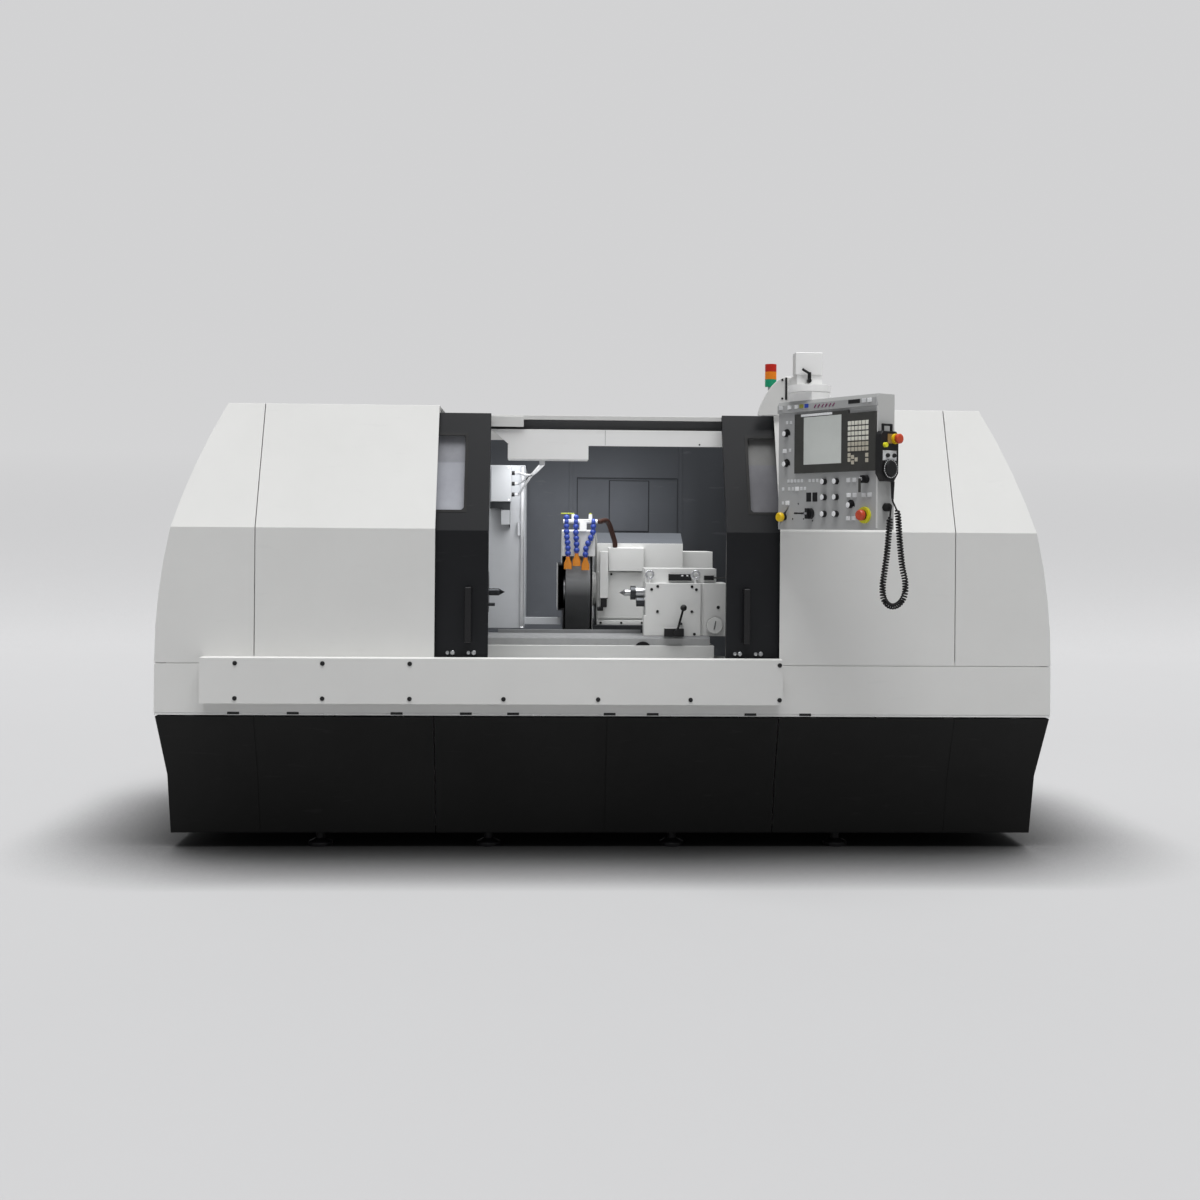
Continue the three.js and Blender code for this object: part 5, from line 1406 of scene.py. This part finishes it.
@dataclass
class WorkZone:
    """The walls behind the work, the junction box and the slide."""

    seam: float = 3.5
    hatch: tuple[float, float, float, float] = (66.0, 253.0, 1266.0, 1507.0)
    panel: tuple[float, float, float, float] = (-92.0, 392.0, 850.0, 1520.0)
    bracket_shade: Zone = Zone(x=(-FAR, -394), y=(-FAR, 619), z=(1270, FAR))
    glands: Zone = Zone(x=(-389, -376))
    hoses: Zone = Zone(x=(-376, FAR))
    fittings: tuple[Fitting, ...] = (
        Plate(
            "wall_edge_strip",
            (-350, 611, 850),
            (-334, 619.5, 1543),
            finish=ALLOY,
            slot="light_grey",
            sink=3.0,
        ),
        Plate(
            "wall_grip",
            (-363, 598, 1244),
            (-351.5, 619.5, 1302),
            finish=PANEL,
            slot="light_grey",
            edge=2.5,
            sink=2.0,
        ),
        Plate(
            "bracket_plate",
            (-433, 552, 1290),
            (-396, 559.5, 1352),
            finish=PANEL,
            slot="light_grey",
            edge=1.5,
            sink=1.0,
        ),
    )
    lid_screws: SocketScrews = SocketScrews(
        "lid_screws",
        [(-402, 509.5, 1530), (-399, 509.5, 1396)],
        4.0,
        1.5,
        finish=BRIGHT,
        slot="light_grey",
    )
    seam_depths: Span = (0.6, 3.4)
    seam_edge: float = 0.6

    def build(self) -> None:
        """Dresses the inner walls and paints the junction box's hoses white."""
        dress("back_wall", WALL, 1.5)
        # Painted shade: the left wall's faces left of x -394 mm and above 1270 mm, the bracket
        # under the junction box among them, get dark steel.
        paint(dress("left_wall", PANEL, 1.0), DARK_STEEL, self.bracket_shade)
        box = dress("junction_box", PANEL, 0.8)
        paint(box, BLACK, self.glands)
        paint(box, HOSE_WHITE, self.hoses)
        dress("wheelhead_slide", DARK_STEEL, 1.5)
        for fitting in self.fittings:
            fitting.fit()
        self.seams()
        self.lid_screws.fit()

    def seams(self) -> None:
        """Models the dark joints round the back wall's door and along its outer panel."""
        face = from_machine(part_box("back_wall")[0]).y
        near, far = (face + depth for depth in self.seam_depths)
        wide = self.seam
        left, right, low, high = self.hatch
        first, last, foot, top = self.panel
        strips = [
            (left - wide, left, low - wide, high + wide),
            (right, right + wide, low - wide, high + wide),
            (left, right, high, high + wide),
            (left, right, low - wide, low),
            (first, first + wide, foot, top),
            (last, last + wide, foot, top),
            (first, last, top, top + wide),
        ]
        lines = [
            Plate("seam", (x0, near, z0), (x1, far, z1), edge=self.seam_edge).model()
            for x0, x1, z0, z1 in strips
        ]
        wear(Bench.joined("back_wall_seams", lines), SEAM, "enclosure", "wall_grey")


@dataclass
class TableAndHeads:
    """Table, workhead and tailstock with their moving pieces."""

    table_top: Zone = Zone(up=(0.3, FAR))
    tail_black: tuple[Zone, ...] = (
        Zone(x=(246, 328), y=(-FAR, 343), z=(-FAR, 869)),
        Zone(x=(266, 363), y=(-FAR, 374.5), z=(1060, FAR), back=(-FAR, 0.5)),
        Zone(x=(413.5, FAR), y=(-FAR, 374.5), z=(1063, FAR)),
        Zone(y=(-FAR, 351.6), disc=(472, 954, 9)),
    )
    tail_sleeve: Zone = Zone(x=(-FAR, 162.5))
    tail_eyes: tuple[Zone, ...] = (
        Zone(y=(-FAR, 375.5), disc=(188, 1087, 21.5)),
        Zone(y=(-FAR, 375.5), disc=(378, 1087, 21.5)),
    )
    quill_collar: Zone = Zone(x=(111, 135))
    dial_rim: Zone = Zone(y=(339, FAR), back=(-0.9, 0.9))
    plate_y: float = 344.0
    plate_screws: tuple[Span, ...] = (
        (220, 1039),
        (195, 1027),
        (362, 1039),
        (380, 1027),
        (220, 936),
        (362, 936),
        (373, 843),
    )
    splash_strip: Plate = Plate(
        "table_splash_strip",
        (-440, 492, 834.5),
        (160, 500, 850),
        finish=TABLE_TOP,
        body="table_body",
        slot="steel",
    )
    screw_radius: float = 6.0
    screw_height: float = 2.0
    mark_places: Span = (323, 344)
    mark_half: float = 4
    mark_depths: Span = (359.6, 362)
    mark_heights: Span = (1081, 1087)
    mark_edge: float = 0.6
    fittings: tuple[Fitting, ...] = (
        Plate(
            "dial_pointer",
            (-1.5, -1.2, -17),
            (1.5, 0.4, 19),
            body="tailstock_dial_body",
            slot="cast_paint",
            place=machine_seat(457, 337.2, 880) @ Matrix.Rotation(math.radians(12), 4, "Y"),
            edge=0.5,
        ),
        Boss(
            "dial_hub",
            4.0,
            3.0,
            finish=STEEL,
            body="tailstock_dial_body",
            slot="cast_paint",
            place=machine_seat(457, 337.4, 880),
            edge=0.8,
        ),
        Boss(
            "lever_peg",
            5.0,
            16.0,
            finish=DARK_STEEL,
            body="table_body",
            place=machine_seat(318, 352, 886),
            edge=1.5,
        ),
    )
    lever_stop: Boss = Boss(
        "lever_stop", 15.0, 3.0, place=machine_seat(272, 318, 846), sink=0.8
    )
    lever_stop_cut: float = 851.0
    table_stop: Boss = Boss("table_stop", 37.0, 5.0, place=machine_seat(160, 335.5, 776))
    table_stop_cut: float = 798.0

    def build(self) -> None:
        """Dresses the castings and adds the strip, the small pieces and the screws."""
        dress("table_lower", ENAMEL, 2.0)
        paint(dress("table_upper", TABLE_STEEL, 1.0), TABLE_TOP, self.table_top)
        dress("workhead", ENAMEL, 4.0, 3)
        dress("workhead_spindle", DARK_STEEL, 0.8)
        tail = dress("tailstock", ENAMEL, 1.5)
        paint(tail, BLACK, *self.tail_black)
        paint(tail, DARK_STEEL, self.tail_sleeve)
        paint(tail, BRIGHT, *self.tail_eyes)
        paint(dress("tailstock_quill", STEEL, 0.5), DARK_STEEL, self.quill_collar)
        dress("tailstock_lever", BLACK, 0.4)
        paint(dress("tailstock_dial", ENAMEL, 2.0, 3), BLACK, self.dial_rim)
        self.splash_strip.fit()
        self.small_pieces()
        places = [(x, self.plate_y, z) for x, z in self.plate_screws]
        size = self.screw_radius, self.screw_height
        SocketScrews("tailstock_screws", places, *size, body="table_body").fit()

    def small_pieces(self) -> None:
        """Models the marks, the pointer, the peg and the other small pieces on the tailstock."""
        half, edge = self.mark_half, self.mark_edge
        low, high = zip(self.mark_depths, self.mark_heights)
        marks = [
            Plate("mark", (x - half, *low), (x + half, *high), edge=edge).model()
            for x in self.mark_places
        ]
        wear(Bench.joined("sensor_marks", marks), CAP_WHITE, "table_body", "cast_paint")
        for fitting in self.fittings:
            fitting.fit()
        up = Vector((0, 0, 1))
        disc = Bench.bisect(self.lever_stop.model(), at(0, 0, self.lever_stop_cut), up)
        wear(disc, BRIGHT, "table_body", "steel")
        moon = Bench.bisect(self.table_stop.model(), at(0, 0, self.table_stop_cut), up)
        wear(moon, BLACK, "table_body", "black_plastic")


@dataclass
class Wheelhead:
    """Housing, guard, wheel and gauge."""

    crown: Zone = Zone(x=(-FAR, 360), z=(1210, FAR), up=(0.4, FAR))
    guard_front: Zone = Zone(x=(-189, -40), z=(-FAR, 1156))
    flanges: tuple[Zone, ...] = (Zone(x=(-FAR, -155.4)), Zone(x=(-49.5, FAR)))
    gauge_foot: Zone = Zone(z=(-FAR, 979))
    screws: SocketScrews = SocketScrews(
        "wheelhead_screws",
        [(45, 709.5, 1078), (0, 707.5, 866), (90, 707.5, 866), (180, 707.5, 866)],
        5.0,
        2.0,
        body="wheelhead_body",
    )

    def build(self) -> None:
        """Dresses the housing, the guard and the wheel, and adds their screws."""
        paint(dress("wheelhead", ENAMEL, 2.0), CROWN, self.crown)
        paint(dress("wheel_guard", ENAMEL, 1.0), BLACK, self.guard_front)
        paint(dress("grinding_wheel", GRIT, 1.0), STEEL, *self.flanges)
        paint(dress("gauge_head", ENAMEL, 2.5, 3), BLACK, self.gauge_foot)
        self.screws.fit()


@dataclass
class JointedHose:
    """One coolant hose of snapped beads with a flat nozzle."""

    number: int
    top: float
    foot: float
    foot_z: float
    joints: int
    top_z: float = 1297.5
    place: float = 585.0
    pitch: float = 22.0
    crown: float = 17.0
    bead: float = 12.6
    bead_sides: int = 16
    bead_rings: int = 10
    bead_mouth: float = -0.85
    bead_crease: float = 50.0
    straight: float = 0.15
    lip: float = 2.5
    lip_flare: float = 1.35
    nozzle_radius: float = 8.5
    nozzle_neck: float = 12.0
    nozzle_drop: float = 5.0
    nozzle_sides: int = 20
    nozzle_mouth: float = -0.9
    nozzle_wall: float = 1.5
    nozzle_edge: float = 0.6
    nozzle_crease: float = 40.0
    nozzle_steps: tuple[Point, ...] = ((11, 1.5, 0.8), (9, 1.3, 0.8), (25, 1.05, 0.9))
    body: str = "wheelhead_body"
    slot: str = "hose_blue"

    def line(self, z: float) -> float:
        """The hose's place across the machine at a height, straight at both ends.

        Args:
            z: The height in millimetres.

        Returns:
            Millimetres to the right of the machine's middle.
        """
        t = (self.top_z - z) / (self.top_z - self.foot_z)
        t = min(max((t - self.straight) / (1 - 2 * self.straight), 0.0), 1.0)
        return self.top + (self.foot - self.top) * t * t * (3 - 2 * t)

    def build(self) -> None:
        """Models one bead, copies it down the hose and sets the nozzle under it."""
        add = bpy.ops.mesh.primitive_uv_sphere_add
        sides = {"segments": self.bead_sides, "ring_count": self.bead_rings}
        bead = Bench.start("bead", add, radius=self.bead * MM, **sides)
        Bench.edit(bead, lambda middle, normal: normal.z < self.bead_mouth)
        Bench.draw_out(0, 0, -self.lip)
        bpy.ops.transform.resize(value=(self.lip_flare, self.lip_flare, 1.0))
        Bench.leave()
        count = int((self.top_z - self.foot_z) / self.pitch)
        step = (self.top_z - self.foot_z) / count
        heights = [self.top_z - step * (i + 0.5) for i in range(count)]
        heights += [self.top_z + self.crown * (i + 0.5) for i in range(self.joints)]
        places = [at(self.line(z), self.place, z) for z in heights]
        string = Bench.joined(f"coolant_beads_{self.number}", Bench.copies(bead, places))
        wear(Bench.done(string, self.bead_crease), BLUE, self.body, self.slot)
        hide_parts(f"coolant_hose_{self.number}")
        wear(self.nozzle(), ORANGE, self.body, self.slot)

    def nozzle(self) -> Object:
        """Models the flat flared nozzle from a tube end that widens downwards.

        Returns:
            The nozzle.
        """
        middle = at(self.foot, self.place, self.foot_z - self.nozzle_drop)
        name = f"coolant_nozzle_{self.number}"
        size = self.nozzle_radius, self.nozzle_neck
        piece = Bench.bar(name, *size, middle, Axis.Z, self.nozzle_sides)
        Bench.edit(piece, lambda middle, normal: normal.z < self.nozzle_mouth)
        for drop, wide, thin in self.nozzle_steps:
            Bench.draw_out(0, 0, -drop)
            bpy.ops.transform.resize(value=(wide, thin, 1.0))
        Bench.sink(self.nozzle_wall, 0.0)
        bpy.ops.transform.translate(value=(0, 0, self.nozzle_neck / 2 * MM))
        Bench.bevel(piece, self.nozzle_edge, 2, self.nozzle_crease)
        return Bench.done(piece, self.nozzle_crease)


@dataclass
class Coolant:
    """The coolant rail, its valves and hoses."""

    hoses: tuple[JointedHose, ...] = (
        JointedHose(1, -154, -147, 1158, 2),
        JointedHose(2, -114, -110, 1171, 2),
        JointedHose(3, -39, -72, 1154, 1),
    )

    def build(self) -> None:
        """Dresses the rail and levers and builds the hoses."""
        dress("coolant_manifold", CAP_WHITE, 0.8)
        for i in (1, 2):
            dress(f"coolant_valve_lever_{i}", LIME, 1.5, 3)
        dress("coolant_supply_hose", HOSE_BROWN, 0.0, 1, 2)
        for hose in self.hoses:
            hose.build()


@dataclass
class SignalTower:
    """Three lenses on a pole."""

    lens: float = 32.0

    def build(self) -> None:
        """Dresses the lenses and the pole below them."""
        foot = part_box("signal_amber_lens")[0].z / MM - self.lens
        paint(dress("signal_green_lens", LENS_GREEN, 1.0), STEEL, Zone(z=(-FAR, foot)))
        dress("signal_amber_lens", LENS_AMBER, 1.0)
        dress("signal_red_lens", LENS_RED, 1.0)


ON_BOX: dict[str, str] = {"body": "pendant_body", "slot": "pendant_grey"}
ON_MODE: dict[str, str] = {"body": "mode_switch_body"}
ON_POWER: dict[str, str] = {"body": "power_switch_body"}


@dataclass
class Pendant:
    """The arm, the operator's box, its controls and screen."""

    knobs: tuple[Span, ...] = (
        (-74, 1643),
        (-74, 1528),
        (139, 1456),
        (203, 1456),
        (139, 1398),
        (203, 1398),
        (139, 1336),
        (203, 1336),
        (277, 1368),
    )
    caps: tuple[tuple[Finish, PendantZone], ...] = (
        (CAP_WHITE, cap(-84, 1578)),
        (CAP_WHITE, cap(-66, 1379)),
        (CAP_WHITE, cap(267, 1404)),
        (CAP_WHITE, cap(265, 1320)),
        (CAP_WHITE, cap(-12, 1432)),
        (CAP_WHITE, cap(-49, 1743, out=8.6)),
        (CAP_WHITE, cap(-10, 1743, out=8.6)),
        (OLIVE, cap(18, 1743, out=8.6)),
        (BLUE_CAP, cap(46, 1743, out=8.6)),
        (CAP_WHITE, cap(378, 1743, out=8.6)),
        (BLACK, cap(52, 1400, 13.5, 18)),
        (BLACK, cap(86, 1400, 13.5, 18)),
        (BLACK, cap(298, 1743, 31, 9, 8.6)),
    )
    shaded_fin: Zone = Zone(x=(-FAR, 712))
    box_face: PendantZone = PendantZone(y=(PENDANT_FACE - 0.5, PENDANT_FACE + 0.5))
    box_side: PendantZone = PendantZone(x=(PENDANT_SIDE - 0.5, PENDANT_SIDE + 0.5))
    box_neck: Zone = Zone(z=(1766.5, FAR))
    all_caps: tuple[PendantZone, ...] = (
        PendantZone(y=(-FAR, PENDANT_FACE - 0.4), z=(-FAR, 1721)),
        PendantZone(y=(-FAR, PENDANT_FACE - 8.6), z=(1730, 1760)),
    )
    stop_ring: PendantZone = PendantZone(y=(-FAR, PENDANT_FACE - 0.4), disc=(350, 1331, 32))
    button_seat: PendantZone = PendantZone(y=(PENDANT_FACE - 15.5, FAR))
    keys: tuple[tuple[Finish, Span], ...] = ((CREAM, (1606, 1690)), (TAN, (1500, 1606)))
    arcs: tuple[Span, ...] = ((-74, 1643), (-74, 1528), (277, 1368))
    arc_slant: Point = (0.35, 0.0, 1.0)
    arc_radius: float = 20.0
    arc_height: float = 1.0
    arc_out: float = 0.3
    arc_edge: float = 0.2
    knob_radius: float = 13
    knob_skin: float = 0.4
    knob_cap_radius: float = 10
    knob_cap_out: float = 16.4
    key_left: float = 262
    key_out: float = 8.5
    dashes: tuple[float, ...] = (92, 112, 133, 152, 172, 191)
    dash_low: Point = (-8, -1.6, -1.8)
    dash_high: Point = (8, 1.5, 1.8)
    dash_lean: float = -45.0
    dash_out: float = 8.4
    dash_z: float = 1739
    dash_edge: float = 0.4
    pin_radius: float = 3.0
    pin_height: float = 1.6
    pin_edge: float = 0.5
    pins: tuple[Point, ...] = (
        (-6, 1375, 0),
        (-37, 1318, 0),
        (24, 1318, 0),
        (74, 1311, 0),
        (-98, 1740, 8.2),
    )
    panels: tuple[Fitting, ...] = (
        Plate(
            "bezel_strip",
            (14, PENDANT_FACE - 8.9, 1703),
            (184, PENDANT_FACE - 7.6, 1712),
            finish=CAP_WHITE,
            body="pendant_body",
            slot="bezel_grey",
            place=PENDANT_PLACE,
            edge=0.4,
            sink=0.2,
        ),
        # Painted highlight: a pale strip stands for the light on the box's rounded corner beside
        # the face.
        Plate(
            "painted_corner_highlight",
            (404, PENDANT_FACE - 1, 1284),
            (411.3, PENDANT_FACE + 0.5, 1722),
            finish=ENAMEL,
            place=PENDANT_PLACE,
            edge=0.6,
            **ON_BOX,
        ),
        Plate(
            "header_panel",
            (-120.4, PENDANT_FACE - 8.2, 1722.6),
            (410.4, PENDANT_FACE - 2, 1752.4),
            finish=FACE_GREY,
            place=PENDANT_PLACE,
            edge=0.8,
            **ON_BOX,
        ),
    )
    stop_well: Ring = Ring(
        "stop_well",
        18.0,
        13.2,
        0.9,
        place=pendant_seat(350, PENDANT_FACE - 9.5, 1331),
        edge=0.2,
        **ON_BOX,
    )
    keys_and_fin: tuple[Fitting, ...] = (
        Boss(
            "mode_key_collar",
            6.5,
            19,
            finish=BRIGHT,
            place=pendant_seat(64, PENDANT_FACE - 26, 1338),
            **ON_MODE,
        ),
        Plate(
            "mode_key_bow",
            (-11, -30, -3),
            (11, 0, 3),
            place=pendant_seat(64, PENDANT_FACE - 45, 1338),
            edge=2.0,
            sink=1.0,
            **ON_MODE,
        ),
        Boss(
            "power_key_collar",
            7,
            5,
            finish=BRIGHT,
            place=pendant_seat(358, PENDANT_FACE - 30, 1460),
            sink=1.0,
            **ON_POWER,
        ),
        Plate(
            "power_key_tag",
            (352, PENDANT_FACE - 38, 1412),
            (364, PENDANT_FACE - 35.5, 1462),
            finish=BEZEL,
            place=PENDANT_PLACE,
            edge=0.8,
            sink=0.5,
            **ON_POWER,
        ),
        Plate(
            "fin_strip",
            (713.5, 164, 1799),
            (721.5, 167.8, 1889),
            slot="white_paint",
            sink=1.0,
        ),
        SocketScrews("fin_screws", [(702, 167.8, 1879), (702, 167.8, 1804)], 4.5, 2.0),
    )

    def build(self) -> None:
        """Dresses the arm, the box and everything on its face."""
        # Painted light: the arm is in the lit copy of the white, and its fin in the plain white
        # as painted shade.
        paint(dress("pendant_arm", LIT_WHITE, 2.5, 3), WHITE, self.shaded_fin)
        dress("pendant_clamp_lever", BLACK, 1.0)
        self.box()
        bezel = dress("pendant_bezel", BEZEL, 1.0)
        across, out = (self.key_left, FAR), (-FAR, PENDANT_FACE - self.key_out)
        for finish, rows in self.keys:
            paint(bezel, finish, PendantZone(x=across, y=out, z=rows))
        dress("pendant_screen", DISPLAY, 0.0)
        for node, finish in (("emergency_stop", RED), ("yellow_button", YELLOW)):
            paint(dress(node, finish, 1.5, 3), BLACK, self.button_seat)
        dress("mode_switch", BLACK, 1.2, 3)
        dress("power_switch", BLACK, 1.2, 3)
        self.dress_up()

    def box(self) -> None:
        """Dresses the box and colours its joined caps and knobs."""
        box = dress("pendant_box", BOX_GREY, 1.2)
        paint(box, FACE_GREY, self.box_face)
        # Painted light: the box's side takes the lighter grey.
        paint(box, LIT_SIDE_GREY, self.box_side)
        # Painted light: the swivel disc and neck take the lit copy of the white.
        paint(box, LIT_WHITE, self.box_neck)
        paint(box, CAP_GREY, *self.all_caps)
        for finish, zone in self.caps:
            paint(box, finish, zone)
        foot, top = PENDANT_FACE - self.knob_skin, PENDANT_FACE - self.knob_cap_out
        for x, z in self.knobs:
            paint(box, BLACK, PendantZone(y=(-FAR, foot), disc=(x, z, self.knob_radius)))
            paint(box, CAP_WHITE, PendantZone(y=(-FAR, top), disc=(x, z, self.knob_cap_radius)))
        paint(box, LEMON, self.stop_ring)

    def dress_up(self) -> None:
        """Fits the panels with the header's dashes, then the marks, the keys and the pins."""
        for panel in self.panels:
            panel.fit()
        lean = Matrix.Rotation(math.radians(self.dash_lean), 4, "Y")
        dashes = []
        for x in self.dashes:
            seat = pendant_seat(x, PENDANT_FACE - self.dash_out, self.dash_z) @ lean
            dash = Plate("dash", self.dash_low, self.dash_high, place=seat, edge=self.dash_edge)
            dashes.append(dash.model())
        wear(Bench.joined("header_dashes", dashes), MAGENTA, **ON_BOX)
        self.stop_well.fit()
        slant = PENDANT_PLACE.to_3x3() @ Vector(self.arc_slant)
        for i, (x, z) in enumerate(self.arcs):
            seat = pendant_seat(x, PENDANT_FACE + self.arc_out, z)
            size = self.arc_radius, self.arc_height
            arc = Boss(f"dial_arc_{i}", *size, place=seat, edge=self.arc_edge).model()
            wear(Bench.bisect(arc, on_pendant(x, PENDANT_FACE, z), slant), BLACK, **ON_BOX)
        for fitting in self.keys_and_fin:
            fitting.fit()
        pins = []
        for x, z, out in self.pins:
            seat = pendant_seat(x, PENDANT_FACE - out, z)
            size = self.pin_radius, self.pin_height
            pins.append(Boss("pin", *size, place=seat, edge=self.pin_edge, sink=0.5).model())
        wear(Bench.joined("face_pins", pins), BLACK, **ON_BOX)


@dataclass
class HandUnit:
    """The hand pulse unit on the pendant's side."""

    dial: Span = (-18.0, 1496.0)
    marks: int = 24
    mark_ring: float = 31.6
    mark_radius: float = 2.0
    mark_height: float = 0.6
    mark_edge: float = 0.2
    scale_height: float = 6.4
    label: PendantZone = PendantZone(x=(442, 446), z=(1525, 1561))
    button: PendantZone = PendantZone(x=(PENDANT_SIDE + 32, FAR), y=(-FAR, -34), z=(1568, 1592))
    stop_base: PendantZone = PendantZone(x=(-FAR, PENDANT_SIDE + 49))
    fittings: tuple[Fitting, ...] = (
        Plate(
            "hand_stop_collar",
            (-12, -2.2, -17),
            (12.4, 1, 17),
            finish=COLLAR,
            body="pendant_body",
            place=side_seat(-17, 1603),
            edge=1.5,
            sink=0.6,
        ),
        Ring(
            "hand_stop_ring",
            18.6,
            12.6,
            11.5,
            finish=YELLOW,
            body="pendant_body",
            place=side_seat(6, 1603),
        ),
        Ring(
            "hand_dial_scale",
            34.5,
            27.8,
            scale_height,
            body="pendant_body",
            place=side_seat(*dial),
            edge=0.8,
        ),
    )

    def build(self) -> None:
        """Dresses the unit, its dial and its stop button."""
        unit = dress("handset_body", BLACK, 2.0, 3)
        paint(unit, CAP_GREY, self.label)
        paint(unit, LEMON, self.button)
        dress("handset_dial", BLACK, 2.0, 3)
        paint(dress("handset_stop", RED, 1.0, 3), YELLOW, self.stop_base)
        dress("cord_socket", RUBBER, 1.5, 3)
        self.small_pieces()

    def small_pieces(self) -> None:
        """Models the stop's plate and ring, and the scale of marks round the dial."""
        for fitting in self.fittings:
            fitting.fit()
        marks = []
        for i in range(self.marks):
            turn = 2 * math.pi * i / self.marks
            y = self.dial[0] + self.mark_ring * math.cos(turn)
            z = self.dial[1] + self.mark_ring * math.sin(turn)
            seat = side_seat(y, z, self.scale_height)
            size = self.mark_radius, self.mark_height
            marks.append(Boss("mark", *size, place=seat, edge=self.mark_edge).model())
        wear(Bench.joined("dial_marks", marks), CAP_WHITE, "pendant_body", "black_plastic")


@dataclass
class CurlyCord:
    """The hand unit's curly cord, one wire wound round a hanging route."""

    wire: float = 3.2
    curl: float = 8.6
    curls: int = 80
    steps: int = 20
    fineness: int = 40
    lead_share: float = 0.045
    ramp_share: float = 0.02
    start: Point = (433.3, -8.0, 1359.0)
    end: Point = (428.0, 12.0, 1388.7)
    lead: float = 6.0
    route: tuple[Point, ...] = (
        (441, -10, 1347),
        (441, -12, 1331),
        (441, -19, 1262),
        (441, -27, 1192),
        (441, -40, 1120),
        (441, -47, 1072),
        (441, -40, 1032),
        (441, -16, 1010),
        (441, 14, 1006),
        (441, 46, 1021),
        (441, 64, 1048),
        (441, 66, 1090),
        (441, 52, 1140),
        (441, 43, 1192),
        (441, 34, 1262),
        (441, 26, 1331),
        (438, 18, 1358),
    )

    def middle_line(self) -> list[Vector]:
        """The route as a dense smooth line in the pendant's millimetres.

        Returns:
            The line's points.
        """
        points = [Vector(self.start), Vector(self.start) + Vector((self.lead, 0, 0))]
        points += [Vector(p) for p in self.route]
        points += [Vector(self.end) - Vector((0, 0, self.lead)), Vector(self.end)]
        padded = [points[0] * 2 - points[1], *points, points[-1] * 2 - points[-2]]
        shares = [i / self.fineness for i in range(self.fineness)]
        stretches = zip(padded, padded[1:], padded[2:], padded[3:])
        return [self.smooth(*ends, share) for ends in stretches for share in shares] + points[-1:]

    @staticmethod
    def smooth(a: Vector, b: Vector, c: Vector, d: Vector, t: float) -> Vector:
        """A point of the centripetal curve through b and c.

        Args:
            a: The point before.
            b: Where the stretch starts.
            c: Where it ends.
            d: The point after.
            t: The share of the stretch.

        Returns:
            The point at that share.
        """
        knots = [0.0]
        for one, two in ((a, b), (b, c), (c, d)):
            knots.append(knots[-1] + max((two - one).length, 1e-6) ** 0.5)
        x = knots[1] + (knots[2] - knots[1]) * t

        def blend(p: Vector, q: Vector, i: int, j: int) -> Vector:
            """Blends two points between two knots."""
            wide = knots[j] - knots[i]
            return p * ((knots[j] - x) / wide) + q * ((x - knots[i]) / wide)

        first, second, third = blend(a, b, 0, 1), blend(b, c, 1, 2), blend(c, d, 2, 3)
        return blend(blend(first, second, 0, 2), blend(second, third, 1, 3), 1, 2)

    def wound(self) -> list[Vector]:
        """Winds the wire's middle line round the route, with straight leads at both ends.

        Returns:
            Its points in the row frame.
        """
        line = self.middle_line()
        lengths = [0.0]
        for one, two in zip(line, line[1:]):
            lengths.append(lengths[-1] + (two - one).length)
        total = lengths[-1]
        out = Vector((1, 0, 0))
        points, place = [], 0
        count = self.curls * self.steps
        for i in range(count + 1):
            share = i / count
            while place < len(line) - 2 and lengths[place + 1] < share * total:
                place += 1
            run = line[place + 1] - line[place]
            along = (share * total - lengths[place]) / max(run.length, 1e-9)
            side = run.normalized().cross(out).normalized()
            angle = 2 * math.pi * i / self.steps
            ramp = (min(share, 1 - share) - self.lead_share) / self.ramp_share
            ramp = min(1.0, max(0.0, ramp))
            reach = self.curl * ramp * ramp * (3 - 2 * ramp)
            spot = line[place] + run * along
            spot += out * (reach * math.cos(angle)) + side * (reach * math.sin(angle))
            points.append(on_pendant(*spot))
        return points

    def build(self) -> None:
        points = self.wound()
        data = bpy.data.curves.new("curly_cord_wire", "CURVE")
        data.dimensions = "3D"
        data.bevel_depth = self.wire * MM
        data.bevel_resolution = 2
        spline = data.splines.new("POLY")
        spline.points.add(len(points) - 1)
        for knot, point in zip(spline.points, points):
            knot.co = (*point, 1.0)
        wire = Bench.add("curly_cord_wire", data)
        wear(wire, RUBBER, "pendant_body", "black_rubber")
        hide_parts("curly_cord")


def main() -> None:
    """Builds the camera, the hand unit and its cord first, then every other sub-assembly."""
    logging.basicConfig(level=logging.INFO)
    for part in (
        CameraRig(),
        HandUnit(),
        CurlyCord(),
        Enclosure(),
        SlidingDoors(),
        WorkZone(),
        TableAndHeads(),
        Wheelhead(),
        Coolant(),
        SignalTower(),
        Pendant(),
        Studio(),
    ):
        part.build()
        LOG.info("%s built", type(part).__name__)


if __name__ == "__main__":
    main()
